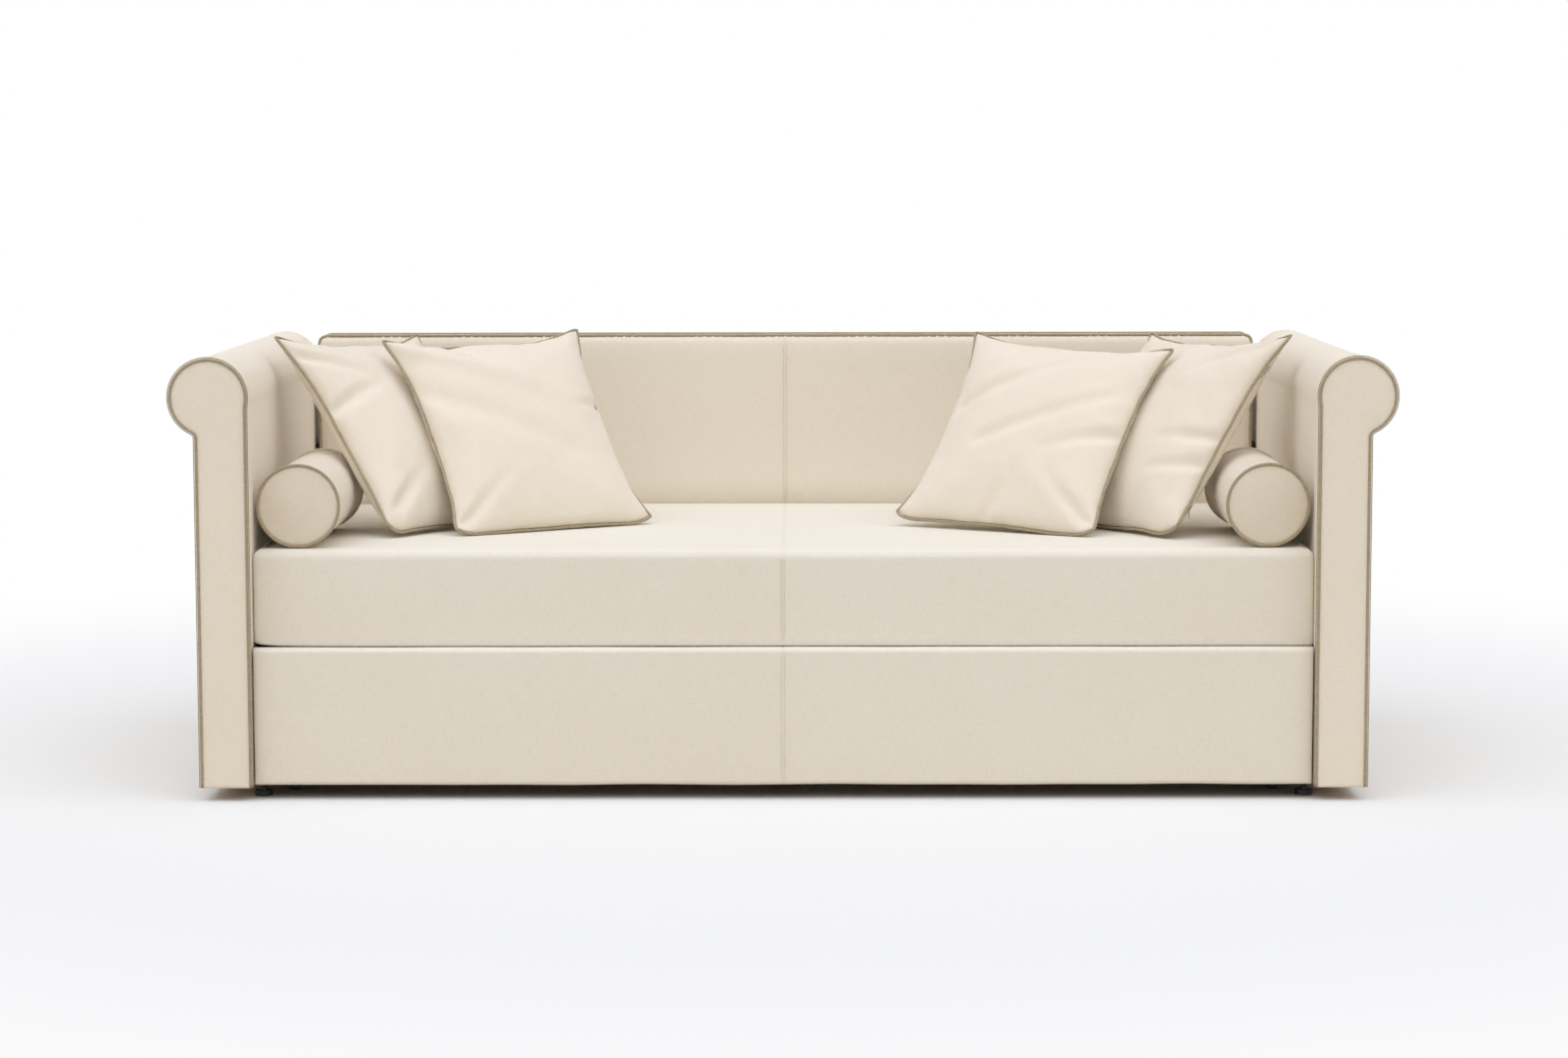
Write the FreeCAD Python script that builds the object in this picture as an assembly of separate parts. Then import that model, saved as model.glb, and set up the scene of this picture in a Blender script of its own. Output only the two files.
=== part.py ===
import FreeCAD, Part
import math
import os

os.makedirs("parts", exist_ok=True)

# Daybed sofa with scroll arms, a back panel and a second bed that pulls out from below
# Millimetres, +X to the right seen from the front, +Y to the back, +Z up
# The origin is on the floor under the middle of the whole sofa, and the front faces -Y

# Upper bed
mattress_length = 2000.0
mattress_depth = 900.0
mattress_height = 179.5
mattress_underside = 294.5
mattress_side_gap = 5.0
mattress_edge_radius = 18.0
mattress_corner_radius = 22.0
mattress_setback = 48.0
mattress_cover_thickness = 2.0

# Arms
arm_thickness = 90.0
arm_underside = 27.0
scroll_radius = 70.0
scroll_height = 764.0
scroll_offset = 68.0
scroll_arc_count = 3
neck_radius = 14.0
inner_neck_radius = 60.0

# Upholstery of arms, back and drawer front
cloth_thickness = 2.0
foam_thickness = 10.0
edge_piping_diameter = 6.5
edge_piping_stand = 1.0

# Timber inside the arms and the back
rib_thickness = 18.0
arm_rib_count = 6
foot_rail_height = 70.0
belt_rail_height = 60.0
neck_rail_height = 40.0
neck_rail_drop = 74.0
scroll_pole_radius = 30.0
head_rail_height = 60.0
back_stud_width = 30.0
back_stud_count = 10

# Back panel
back_top = 826.0
back_underside = 40.0
back_thickness = 78.0
back_side_gap = 16.0
back_corner_radius = 14.0
back_frame_corner_radius = 7.0
back_seat_gap = 1.0
back_rear_setback = 1.0
back_spacer_width = 60.0
back_spacer_height = 40.0
back_spacer_low = 320.0
back_spacer_high = 560.0

# Steel rails and slats of both beds
rail_width = 25.0
rail_height = 45.0
rail_wall = 2.0
slat_width = 68.0
slat_thickness = 8.0
slat_pitch = 140.0
slat_inset = 70.0
holder_base = 3.0
holder_wall = 4.0
corner_leg = 42.0
corner_wall = 4.0
corner_height = 31.0
front_rail_setback = 4.0

# Feet
foot_inset = 14.0
foot_front_gap = 6.0
foot_rear_setback = 74.0
foot_pad_radius = 17.0
foot_pad_height = 10.0
foot_collar_radius = 8.0
foot_collar_height = 6.0
foot_stem_radius = 4.0
foot_stem_end = 4.0
foot_nut_radius = 7.0
foot_nut_height = 6.5
foot_bracket_width = 30.0
foot_bracket_length = 40.0
foot_bracket_height = 50.0
foot_bracket_wall = 3.0
foot_bracket_rise = 3.0
foot_screw_spread = 20.0
foot_screw_drop = 15.0

# Bolts and screws
bolt_radius = 4.0
bolt_head_radius = 7.5
bolt_head_height = 5.0
bolt_grip = 30.0
arm_bolt_count = 3
arm_bolt_gap = 30.0
back_bolt_count = 4
back_bolt_inset = 200.0
screw_radius = 2.5
screw_head_radius = 4.5
screw_head_height = 2.0
screw_grip = 25.0
hole_clearance = 0.2

# Front of the pull-out bed
drawer_side_gap = 7.0
drawer_setback = 18.0
drawer_underside = 28.0
drawer_top_gap = 6.5
drawer_board_thickness = 18.0
drawer_foam_thickness = 8.0
drawer_edge_radius = 8.0
drawer_hem = 22.0
drawer_screw_count = 6
drawer_screw_inset = 110.0
drawer_screw_grip = 14.0
buffer_radius = 10.0
buffer_inset = 205.0

# Pull-out bed
lower_bed_side_gap = 55.0
lower_bed_rear_gap = 53.0
lower_mattress_clearance = 20.5
lower_mattress_edge_radius = 14.0
lower_rail_height = 40.0
castor_radius = 25.0
castor_width = 20.0
castor_edge_radius = 2.5
castor_axle_radius = 4.0
castor_axle_end = 1.5
castor_running_clearance = 0.05
castor_side_clearance = 1.5
castor_cheek = 3.0
castor_cheek_length = 24.0
castor_cheek_drop = 10.0
castor_plate = 3.0
castor_plate_length = 50.0
castor_plate_clearance = 4.0
castor_inset = 88.0

# Scatter cushions
cushion_side = 453.0
cushion_rise = 58.0
cushion_pull = 16.0
cushion_corner_radius = 15.0
cushion_piping_diameter = 5.5
cushion_piping_stand = 1.0
cushion_cover_thickness = 1.5
cushion_levels = [0.0, 0.06, 0.16, 0.3, 0.46, 0.62, 0.77, 0.89, 0.96, 0.985]
crown_roundness = 0.6
settle_rounds = 12
settle_step = 0.8
settle_tolerance = 0.2

# Bolsters
bolster_radius = 77.0
bolster_length = 380.0
bolster_dome = 7.0
bolster_arm_gap = 8.5
bolster_front_inset = 14.0
bolster_cover_thickness = 1.5

# Soft pieces that touch other pieces stay this far off them
soft_clearance = 0.4

# Cutting tools reach this far past what they cut
overcut = 1.0

# Places that follow from the sizes above
arm_depth = mattress_setback + mattress_depth + back_seat_gap + back_thickness + back_rear_setback
arm_inner = mattress_length / 2 + mattress_side_gap
arm_outer = arm_inner + arm_thickness
front_face = -arm_depth / 2
rear_face = arm_depth / 2
scroll_x = arm_inner + scroll_offset
lining = cloth_thickness + foam_thickness
edge_piping_radius = edge_piping_diameter / 2

mattress_front = front_face + mattress_setback
mattress_rear = mattress_front + mattress_depth
seat_top = mattress_underside + mattress_height
back_front = mattress_rear + back_seat_gap
back_rear = back_front + back_thickness
back_half = arm_inner - back_side_gap

rail_top = mattress_underside - slat_thickness - holder_base
rail_bottom = rail_top - rail_height
rail_middle = (rail_top + rail_bottom) / 2
front_rail_front = mattress_front + front_rail_setback
front_rail_rear = front_rail_front + rail_width
rear_rail_front = back_front - rail_width

drawer_half = arm_inner - drawer_side_gap
drawer_front = front_face + drawer_setback
drawer_top = mattress_underside - drawer_top_gap
board_front = drawer_front + cloth_thickness + drawer_foam_thickness
board_rear = board_front + drawer_board_thickness
drawer_rear = board_rear + cloth_thickness

foot_x = arm_inner - foot_inset
foot_front_y = drawer_rear + foot_front_gap + foot_bracket_length / 2
foot_rear_y = back_front - foot_rear_setback
bracket_bottom = arm_underside + foot_bracket_rise

lower_half = arm_inner - lower_bed_side_gap
lower_bed_front = board_rear
lower_bed_rear = back_front - lower_bed_rear_gap
lower_rail_bottom = 2 * castor_radius + castor_plate_clearance + castor_plate
lower_rail_top = lower_rail_bottom + lower_rail_height
lower_mattress_underside = lower_rail_top + holder_base + slat_thickness
lower_mattress_height = rail_bottom - lower_mattress_clearance - lower_mattress_underside

cushion_piping_radius = cushion_piping_diameter / 2
cushion_rim = cushion_piping_stand + cushion_piping_radius
bolster_x = arm_inner - bolster_arm_gap - cushion_piping_radius - bolster_radius
bolster_z = seat_top + bolster_radius + cushion_piping_radius + soft_clearance
bolster_front = mattress_front + bolster_front_inset
bolster_rear = bolster_front + bolster_length


def vector(x, y, z):
    return FreeCAD.Vector(x, y, z)


def block(x0, x1, y0, y1, z0, z1):
    """A box between two opposite corners."""
    return Part.makeBox(x1 - x0, y1 - y0, z1 - z0, vector(x0, y0, z0))


def join(shapes):
    """One solid from pieces that are glued or welded together."""
    return shapes[0].multiFuse(shapes[1:]).removeSplitter()


def group(shapes):
    """Separate solids that share one node."""
    return Part.makeCompound(shapes)


def spread(first, last, count):
    """Evenly spaced places from first to last."""
    return [first + (last - first) * i / (count - 1) for i in range(count)]


def pin(start, direction, radius, length):
    return Part.makeCylinder(radius, length, start, direction)


def mirrored(shape):
    """The same piece on the other side of the sofa."""
    return shape.mirror(vector(0, 0, 0), vector(1, 0, 0))


def save(node, shape):
    shape.exportStep("parts/" + node + ".step")


# Bolts, screws and the holes that they pass through

def bolt(start, direction, grip, radius, head_radius, head_height):
    """A round-headed bolt whose head seats at start and whose shank runs along direction."""
    shank = pin(start, direction, radius, grip)
    head = pin(start - direction * head_height, direction, head_radius, head_height)
    return shank.fuse(head).removeSplitter()


def bolt_hole(start, direction, grip, radius):
    return pin(start, direction, radius + hole_clearance, grip + hole_clearance)


def drill(shape, holes):
    """Cuts every hole that reaches into the shape."""
    for hole in holes:
        if hole.BoundBox.intersect(shape.BoundBox):
            shape = shape.cut(hole)
    return shape


def frame_bolt_places():
    """Where the upper bed's rails are bolted to the arms and to the back: start point and direction."""
    places = []
    first = front_rail_rear + corner_leg + arm_bolt_gap
    last = rear_rail_front - corner_leg - arm_bolt_gap
    for y in spread(first, last, arm_bolt_count):
        for side in (-1, 1):
            places.append((vector(side * (arm_inner - rail_width), y, rail_middle), vector(side, 0, 0)))
    reach = back_half - back_bolt_inset
    for x in spread(-reach, reach, back_bolt_count):
        places.append((vector(x, rear_rail_front, rail_middle), vector(0, 1, 0)))
    return places


frame_bolt_length = rail_width + lining + bolt_grip
frame_bolts = []
frame_bolt_holes = []
for start, direction in frame_bolt_places():
    frame_bolts.append(
        bolt(start, direction, frame_bolt_length, bolt_radius, bolt_head_radius, bolt_head_height)
    )
    frame_bolt_holes.append(bolt_hole(start, direction, frame_bolt_length, bolt_radius))


# Feet: a bracket on each arm's inner face carries a threaded stem with a pad below

def foot_places():
    places = []
    for side in (-1, 1):
        for y in (foot_front_y, foot_rear_y):
            places.append((side, y))
    return places


def foot_screw_places():
    places = []
    z = bracket_bottom + foot_bracket_height - foot_screw_drop
    for side, y in foot_places():
        for shift in (-foot_screw_spread / 2, foot_screw_spread / 2):
            start = vector(side * (arm_inner - foot_bracket_wall), y + shift, z)
            places.append((start, vector(side, 0, 0)))
    return places


foot_screw_length = foot_bracket_wall + lining + screw_grip
foot_screws = []
foot_screw_holes = []
for start, direction in foot_screw_places():
    foot_screws.append(
        bolt(start, direction, foot_screw_length, screw_radius, screw_head_radius, screw_head_height)
    )
    foot_screw_holes.append(bolt_hole(start, direction, foot_screw_length, screw_radius))


def foot_bracket(side, y):
    """A steel angle: one leg on the arm, the other level with a hole for the stem."""
    half = foot_bracket_length / 2
    leg = block(arm_inner - foot_bracket_wall, arm_inner, y - half, y + half,
                bracket_bottom, bracket_bottom + foot_bracket_height)
    shelf = block(arm_inner - foot_bracket_width, arm_inner, y - half, y + half,
                  bracket_bottom, bracket_bottom + foot_bracket_wall)
    shape = join([leg, shelf])
    shape = shape.cut(pin(vector(foot_x, y, bracket_bottom - overcut), vector(0, 0, 1),
                          foot_stem_radius + hole_clearance, foot_bracket_wall + 2 * overcut))
    if side < 0:
        shape = mirrored(shape)
    return drill(shape, foot_screw_holes)


def foot_stem(side, y):
    """A threaded stem with its lock nut resting on the bracket."""
    nut_bottom = bracket_bottom + foot_bracket_wall
    foot_top = nut_bottom + foot_nut_height + foot_stem_end
    stem = pin(vector(side * foot_x, y, foot_pad_height), vector(0, 0, 1),
               foot_stem_radius, foot_top - foot_pad_height)
    nut = pin(vector(side * foot_x, y, nut_bottom), vector(0, 0, 1), foot_nut_radius, foot_nut_height)
    return stem.fuse(nut).removeSplitter()


def foot_pad(side, y):
    """A round glide with a collar that takes the stem's end."""
    base = pin(vector(side * foot_x, y, 0), vector(0, 0, 1), foot_pad_radius, foot_pad_height)
    collar = pin(vector(side * foot_x, y, foot_pad_height), vector(0, 0, 1),
                 foot_collar_radius, foot_collar_height)
    shape = base.fuse(collar).removeSplitter()
    return shape.cut(pin(vector(side * foot_x, y, foot_pad_height), vector(0, 0, 1),
                         foot_stem_radius, foot_collar_height))


# Arms: an upright panel that ends in an outward scroll

def tangent_neck(wall_x, radius, outward, scroll):
    """Where a concave neck arc meets the scroll and the panel's wall: scroll point, middle, wall point."""
    centre_x = wall_x + outward * radius
    across = centre_x - scroll_x
    reach = scroll + radius
    centre_z = scroll_height - math.sqrt(reach * reach - across * across)
    share = scroll / reach
    on_scroll = (scroll_x + across * share, scroll_height + (centre_z - scroll_height) * share)
    on_wall = (wall_x, centre_z)
    away_x = (on_scroll[0] + on_wall[0]) / 2 - centre_x
    away_z = (on_scroll[1] + on_wall[1]) / 2 - centre_z
    stretch = radius / math.hypot(away_x, away_z)
    middle = (centre_x + away_x * stretch, centre_z + away_z * stretch)
    return on_scroll, middle, on_wall


def scroll_angle(point):
    return math.atan2(point[1] - scroll_height, point[0] - scroll_x)


def arm_outline(inset, y, bottom):
    """The right arm's outline at depth y, drawn in by inset, as edges from inner bottom to outer bottom."""
    scroll = scroll_radius - inset
    inner = arm_inner + inset
    outer = arm_outer - inset
    in_scroll, in_middle, in_wall = tangent_neck(inner, inner_neck_radius + inset, -1, scroll)
    out_scroll, out_middle, out_wall = tangent_neck(outer, neck_radius + inset, 1, scroll)
    start_angle = scroll_angle(in_scroll) % (2 * math.pi)
    end_angle = scroll_angle(out_scroll)
    points = []
    for angle in spread(start_angle, end_angle, 2 * scroll_arc_count + 1):
        points.append((scroll_x + scroll * math.cos(angle), scroll_height + scroll * math.sin(angle)))

    def place(point):
        return vector(point[0], y, point[1])

    edges = [Part.LineSegment(place((inner, bottom)), place(in_wall)).toShape(),
             Part.Arc(place(in_wall), place(in_middle), place(in_scroll)).toShape()]
    for i in range(scroll_arc_count):
        first, through, last = points[2 * i:2 * i + 3]
        edges.append(Part.Arc(place(first), place(through), place(last)).toShape())
    edges.append(Part.Arc(place(out_scroll), place(out_middle), place(out_wall)).toShape())
    edges.append(Part.LineSegment(place(out_wall), place((outer, bottom))).toShape())
    return edges


def arm_body(inset, y0, y1, bottom):
    """The arm's outline, drawn in by inset, run along the depth from y0 to y1."""
    edges = arm_outline(inset, y0, bottom)
    low_inner = vector(arm_inner + inset, y0, bottom)
    low_outer = vector(arm_outer - inset, y0, bottom)
    edges.append(Part.LineSegment(low_outer, low_inner).toShape())
    face = Part.Face(Part.Wire(edges))
    return face.extrude(vector(0, y1 - y0, 0))


def arm_frame():
    """Timber: outline boards in a row, joined by rails at the foot, the belt and the neck, and a pole."""
    x0, x1 = arm_inner + lining, arm_outer - lining
    y0, y1 = front_face + lining, rear_face - lining
    belt_bottom = rail_middle - belt_rail_height / 2
    neck_top = scroll_height - neck_rail_drop
    pieces = []
    for y in spread(y0, y1 - rib_thickness, arm_rib_count):
        pieces.append(arm_body(lining, y, y + rib_thickness, arm_underside))
    pieces.append(block(x0, x1, y0, y1, arm_underside, arm_underside + foot_rail_height))
    pieces.append(block(x0, x1, y0, y1, belt_bottom, belt_bottom + belt_rail_height))
    pieces.append(block(x0, x1, y0, y1, neck_top - neck_rail_height, neck_top))
    pieces.append(pin(vector(scroll_x, y0, scroll_height), vector(0, 1, 0), scroll_pole_radius, y1 - y0))
    return join(pieces)


def arm_piping():
    """Piping round the arm's front and rear edges, from inner foot to outer foot."""
    rings = []
    for y in (front_face - edge_piping_stand, rear_face + edge_piping_stand):
        path = Part.Wire(arm_outline(-edge_piping_stand, y, arm_underside))
        start = vector(arm_inner - edge_piping_stand, y, arm_underside)
        ring = Part.Wire(Part.makeCircle(edge_piping_radius, start, vector(0, 0, 1)))
        rings.append(path.makePipeShell([ring], True, False))
    return rings


def arm_parts():
    """The right arm's frame, padding, cover and piping."""
    low = arm_underside - overcut
    whole = arm_body(0.0, front_face, rear_face, arm_underside)
    under_cloth = arm_body(cloth_thickness, front_face + cloth_thickness, rear_face - cloth_thickness, low)
    under_foam = arm_body(lining, front_face + lining, rear_face - lining, low)
    padding = arm_body(cloth_thickness, front_face + cloth_thickness, rear_face - cloth_thickness,
                       arm_underside).cut(under_foam)
    piping = arm_piping()
    cover = whole.cut(under_cloth)
    for ring in piping:
        cover = cover.cut(ring)
    return {"frame": arm_frame(), "padding": padding, "cover": cover, "piping": group(piping)}


arm_holes = frame_bolt_holes + foot_screw_holes
for piece_name, piece in arm_parts().items():
    save("right_arm_" + piece_name, drill(piece, arm_holes))
    save("left_arm_" + piece_name, drill(mirrored(piece), arm_holes))


# Back panel: a padded frame between the arms, piped round its top and sides

def back_outline(inset, y, bottom):
    """The panel's outline, drawn in by inset, from its lower left corner over the top."""
    half = back_half - inset
    top = back_top - inset
    radius = max(back_corner_radius - inset, back_frame_corner_radius)
    short = radius * (1 - math.sqrt(0.5))
    left_mid = vector(-half + short, y, top - short)
    right_mid = vector(half - short, y, top - short)
    return [
        Part.LineSegment(vector(-half, y, bottom), vector(-half, y, top - radius)).toShape(),
        Part.Arc(vector(-half, y, top - radius), left_mid, vector(-half + radius, y, top)).toShape(),
        Part.LineSegment(vector(-half + radius, y, top), vector(half - radius, y, top)).toShape(),
        Part.Arc(vector(half - radius, y, top), right_mid, vector(half, y, top - radius)).toShape(),
        Part.LineSegment(vector(half, y, top - radius), vector(half, y, bottom)).toShape(),
    ]


def back_body(inset, y0, y1, bottom):
    """The panel's outline, drawn in by inset, run along the depth from y0 to y1."""
    edges = back_outline(inset, y0, bottom)
    half = back_half - inset
    edges.append(Part.LineSegment(vector(half, y0, bottom), vector(-half, y0, bottom)).toShape())
    return Part.Face(Part.Wire(edges)).extrude(vector(0, y1 - y0, 0))


def back_frame():
    """Timber studs between a foot rail, a belt rail and a head rail."""
    half = back_half - lining
    y0, y1 = back_front + lining, back_rear - lining
    top = back_top - lining
    belt_bottom = rail_middle - belt_rail_height / 2
    pieces = [
        block(-half, half, y0, y1, back_underside, back_underside + foot_rail_height),
        block(-half, half, y0, y1, belt_bottom, belt_bottom + belt_rail_height),
        block(-half, half, y0, y1, top - head_rail_height, top),
    ]
    for x in spread(-half, half - back_stud_width, back_stud_count):
        pieces.append(block(x, x + back_stud_width, y0, y1, back_underside, top))
    return join(pieces).common(back_body(lining, y0, y1, back_underside))


def back_piping():
    """Piping round the panel's front edge, down to the seat, and round its rear edge, down to its foot."""
    rings = []
    for y, foot in ((back_front - edge_piping_stand, seat_top + soft_clearance),
                    (back_rear + edge_piping_stand, back_underside)):
        path = Part.Wire(back_outline(-edge_piping_stand, y, foot))
        start = vector(-back_half - edge_piping_stand, y, foot)
        ring = Part.Wire(Part.makeCircle(edge_piping_radius, start, vector(0, 0, 1)))
        rings.append(path.makePipeShell([ring], True, False))
    return rings


def back_parts():
    """The back panel's frame, padding, cover and piping."""
    low = back_underside - overcut
    cloth_front, cloth_rear = back_front + cloth_thickness, back_rear - cloth_thickness
    padding = back_body(cloth_thickness, cloth_front, cloth_rear, back_underside)
    padding = padding.cut(back_body(lining, back_front + lining, back_rear - lining, low))
    cover = back_body(0.0, back_front, back_rear, back_underside)
    cover = cover.cut(back_body(cloth_thickness, cloth_front, cloth_rear, low))
    piping = back_piping()
    for ring in piping:
        cover = cover.cut(ring)
    return {"frame": back_frame(), "padding": padding, "cover": cover, "piping": group(piping)}


for piece_name, piece in back_parts().items():
    save("back_" + piece_name, drill(piece, frame_bolt_holes))


def back_spacers():
    """Blocks that fill the gap between the back panel and each arm."""
    middle = (back_front + back_rear) / 2
    half = back_spacer_width / 2
    blocks = []
    for side in (-1, 1):
        for z in (back_spacer_low, back_spacer_high):
            x0, x1 = sorted((side * back_half, side * arm_inner))
            blocks.append(block(x0, x1, middle - half, middle + half, z, z + back_spacer_height))
    return blocks


save("back_spacers", group(back_spacers()))


# Upper bed: four steel rails, corner angles and sprung slats in their holders

def hollow_rail(x0, x1, y0, y1, z0, z1, along):
    """A rectangular steel tube, open at its ends, that runs along x or y."""
    past_x = overcut if along == "x" else -rail_wall
    past_y = overcut if along == "y" else -rail_wall
    inside = block(x0 - past_x, x1 + past_x, y0 - past_y, y1 + past_y, z0 + rail_wall, z1 - rail_wall)
    return block(x0, x1, y0, y1, z0, z1).cut(inside)


def end_rails(half, y0, y1, z0, z1):
    right = hollow_rail(half - rail_width, half, y0, y1, z0, z1, "y")
    return [mirrored(right), right]


def corner_angles(half, y0, y1, middle):
    """A steel angle in each inner corner of a rail frame."""
    low, high = middle - corner_height / 2, middle + corner_height / 2
    angles = []
    for y, into in ((y0, 1), (y1, -1)):
        far = sorted((y, y + into * corner_leg))
        near = sorted((y, y + into * corner_wall))
        along_side = block(half - corner_wall, half, far[0], far[1], low, high)
        along_rail = block(half - corner_leg, half, near[0], near[1], low, high)
        angle = join([along_side, along_rail])
        angles.extend([angle, mirrored(angle)])
    return angles


def slat_places(half):
    """Middles of a row of slats, evenly spaced about the middle of the bed."""
    count = int(2 * (half - slat_inset) // slat_pitch) + 1
    reach = (count - 1) * slat_pitch / 2
    return spread(-reach, reach, count)


def slats_and_holders(half, y0, y1, z_rail):
    """Slats from front to back, each end in an open holder on its rail."""
    slats = []
    holders = []
    z_slat = z_rail + holder_base
    z_top = z_slat + slat_thickness
    slat_half = slat_width / 2
    holder_half = slat_half + holder_wall
    for x in slat_places(half):
        slats.append(block(x - slat_half, x + slat_half, y0 + holder_wall, y1 - holder_wall, z_slat, z_top))
        for start, end, pocket_start, pocket_end in (
            (y0, y0 + rail_width, y0 + holder_wall, y0 + rail_width + overcut),
            (y1 - rail_width, y1, y1 - rail_width - overcut, y1 - holder_wall),
        ):
            body = block(x - holder_half, x + holder_half, start, end, z_rail, z_top)
            pocket = block(x - slat_half, x + slat_half, pocket_start, pocket_end, z_slat, z_top + overcut)
            holders.append(body.cut(pocket))
    return slats, holders


base_front_rail = hollow_rail(-arm_inner, arm_inner, front_rail_front, front_rail_rear,
                              rail_bottom, rail_top, "x")
base_rear_rail = hollow_rail(-arm_inner, arm_inner, rear_rail_front, back_front, rail_bottom, rail_top, "x")
base_end_rails = end_rails(arm_inner, front_rail_rear, rear_rail_front, rail_bottom, rail_top)
base_corners = corner_angles(arm_inner - rail_width, front_rail_rear, rear_rail_front, rail_middle)
upper_slats, upper_holders = slats_and_holders(mattress_length / 2, front_rail_front, back_front, rail_top)

save("base_front_rail", drill(base_front_rail, frame_bolt_holes))
save("base_rear_rail", drill(base_rear_rail, frame_bolt_holes))
save("base_end_rails", group([drill(rail, frame_bolt_holes) for rail in base_end_rails]))
save("base_corner_angles", group(base_corners))
save("upper_slats", group(upper_slats))
save("upper_slat_holders", group(upper_holders))
save("frame_bolts", group(frame_bolts))

save("foot_brackets", group([foot_bracket(side, y) for side, y in foot_places()]))
save("foot_stems", group([foot_stem(side, y) for side, y in foot_places()]))
save("foot_pads", group([foot_pad(side, y) for side, y in foot_places()]))
save("foot_screws", group(foot_screws))


def stop_buffers():
    """Rubber buffers on the front rail that the closed drawer front comes to rest against."""
    start = drawer_rear + soft_clearance
    reach = arm_inner - buffer_inset
    return [pin(vector(x, start, rail_middle), vector(0, 1, 0), buffer_radius, front_rail_front - start)
            for x in (-reach, reach)]


save("stop_buffers", group(stop_buffers()))


# Mattresses: a foam core in a fitted boxed cover

def soft_box(x0, x1, y0, y1, z0, z1, edge_radius, corner_radius):
    """A box with rounded upright corners and rounded top and bottom edges."""
    shape = block(x0, x1, y0, y1, z0, z1)
    upright = [edge for edge in shape.Edges if edge.BoundBox.ZLength > (z1 - z0) / 2]
    shape = shape.makeFillet(corner_radius, upright)
    rims = [edge for edge in shape.Edges if edge.BoundBox.ZLength < (z1 - z0) / 2]
    return shape.makeFillet(edge_radius, rims)


def mattress(half, y0, y1, z0, z1, edge_radius):
    """The core and the closed cover round it."""
    wall = mattress_cover_thickness
    outside = soft_box(-half, half, y0, y1, z0, z1, edge_radius, mattress_corner_radius)
    core = soft_box(-half + wall, half - wall, y0 + wall, y1 - wall, z0 + wall, z1 - wall,
                    edge_radius - wall, mattress_corner_radius - wall)
    return core, outside.cut(core)


upper_core, upper_cover = mattress(mattress_length / 2, mattress_front, mattress_rear,
                                   mattress_underside, seat_top, mattress_edge_radius)
save("upper_mattress_core", upper_core)
save("upper_mattress_cover", upper_cover)


# Pull-out bed: an upholstered front, a rail frame with slats, a mattress and four fixed castors

def drawer_block(inset, y0, y1):
    half = drawer_half - inset
    return block(-half, half, y0, y1, drawer_underside + inset, drawer_top - inset)


def soften_front(shape, y, radius):
    """Rounds the edges of a block's front face, which stands at depth y."""
    rim = [edge for edge in shape.Edges if edge.BoundBox.YMax < y + overcut]
    return shape.makeFillet(radius, rim)


def drawer_parts():
    """The front's cloth with its hem behind, the padding and the board."""
    cloth_front = drawer_front + cloth_thickness
    padding = soften_front(drawer_block(cloth_thickness, cloth_front, board_front), cloth_front,
                           drawer_edge_radius - cloth_thickness)
    board = drawer_block(cloth_thickness, board_front, board_rear)
    cover = soften_front(drawer_block(0.0, drawer_front, drawer_rear), drawer_front, drawer_edge_radius)
    cover = cover.cut(padding).cut(board)
    cover = cover.cut(drawer_block(drawer_hem, board_rear - overcut, drawer_rear + overcut))
    return cover, padding, board


drawer_screw_length = rail_width + drawer_screw_grip
drawer_screw_reach = lower_half - drawer_screw_inset
drawer_screws = []
drawer_screw_holes = []
for x in spread(-drawer_screw_reach, drawer_screw_reach, drawer_screw_count):
    start = vector(x, lower_bed_front + rail_width, (lower_rail_bottom + lower_rail_top) / 2)
    forwards = vector(0, -1, 0)
    drawer_screws.append(
        bolt(start, forwards, drawer_screw_length, screw_radius, screw_head_radius, screw_head_height)
    )
    drawer_screw_holes.append(bolt_hole(start, forwards, drawer_screw_length, screw_radius))

drawer_cover, drawer_padding, drawer_board = drawer_parts()
save("drawer_cover", drawer_cover)
save("drawer_padding", drawer_padding)
save("drawer_board", drill(drawer_board, drawer_screw_holes))
save("drawer_screws", group(drawer_screws))

lower_front_rail = hollow_rail(-lower_half, lower_half, lower_bed_front, lower_bed_front + rail_width,
                               lower_rail_bottom, lower_rail_top, "x")
lower_rear_rail = hollow_rail(-lower_half, lower_half, lower_bed_rear - rail_width, lower_bed_rear,
                              lower_rail_bottom, lower_rail_top, "x")
lower_end_rails = end_rails(lower_half, lower_bed_front + rail_width, lower_bed_rear - rail_width,
                            lower_rail_bottom, lower_rail_top)
lower_slats, lower_holders = slats_and_holders(lower_half, lower_bed_front, lower_bed_rear, lower_rail_top)
lower_core, lower_cover = mattress(lower_half, drawer_rear + soft_clearance, lower_bed_rear,
                                   lower_mattress_underside, lower_mattress_underside + lower_mattress_height,
                                   lower_mattress_edge_radius)
save("lower_front_rail", drill(lower_front_rail, drawer_screw_holes))
save("lower_rear_rail", lower_rear_rail)
save("lower_end_rails", group(lower_end_rails))
save("lower_slats", group(lower_slats))
save("lower_slat_holders", group(lower_holders))
save("lower_mattress_core", lower_core)
save("lower_mattress_cover", lower_cover)

castor_x = lower_half - rail_width / 2
castor_front_y = lower_bed_front + castor_inset
castor_rear_y = lower_bed_rear - castor_inset
castor_places = {
    "front_left": (-castor_x, castor_front_y),
    "front_right": (castor_x, castor_front_y),
    "rear_left": (-castor_x, castor_rear_y),
    "rear_right": (castor_x, castor_rear_y),
}
fork_half = castor_width / 2 + castor_side_clearance


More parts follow.
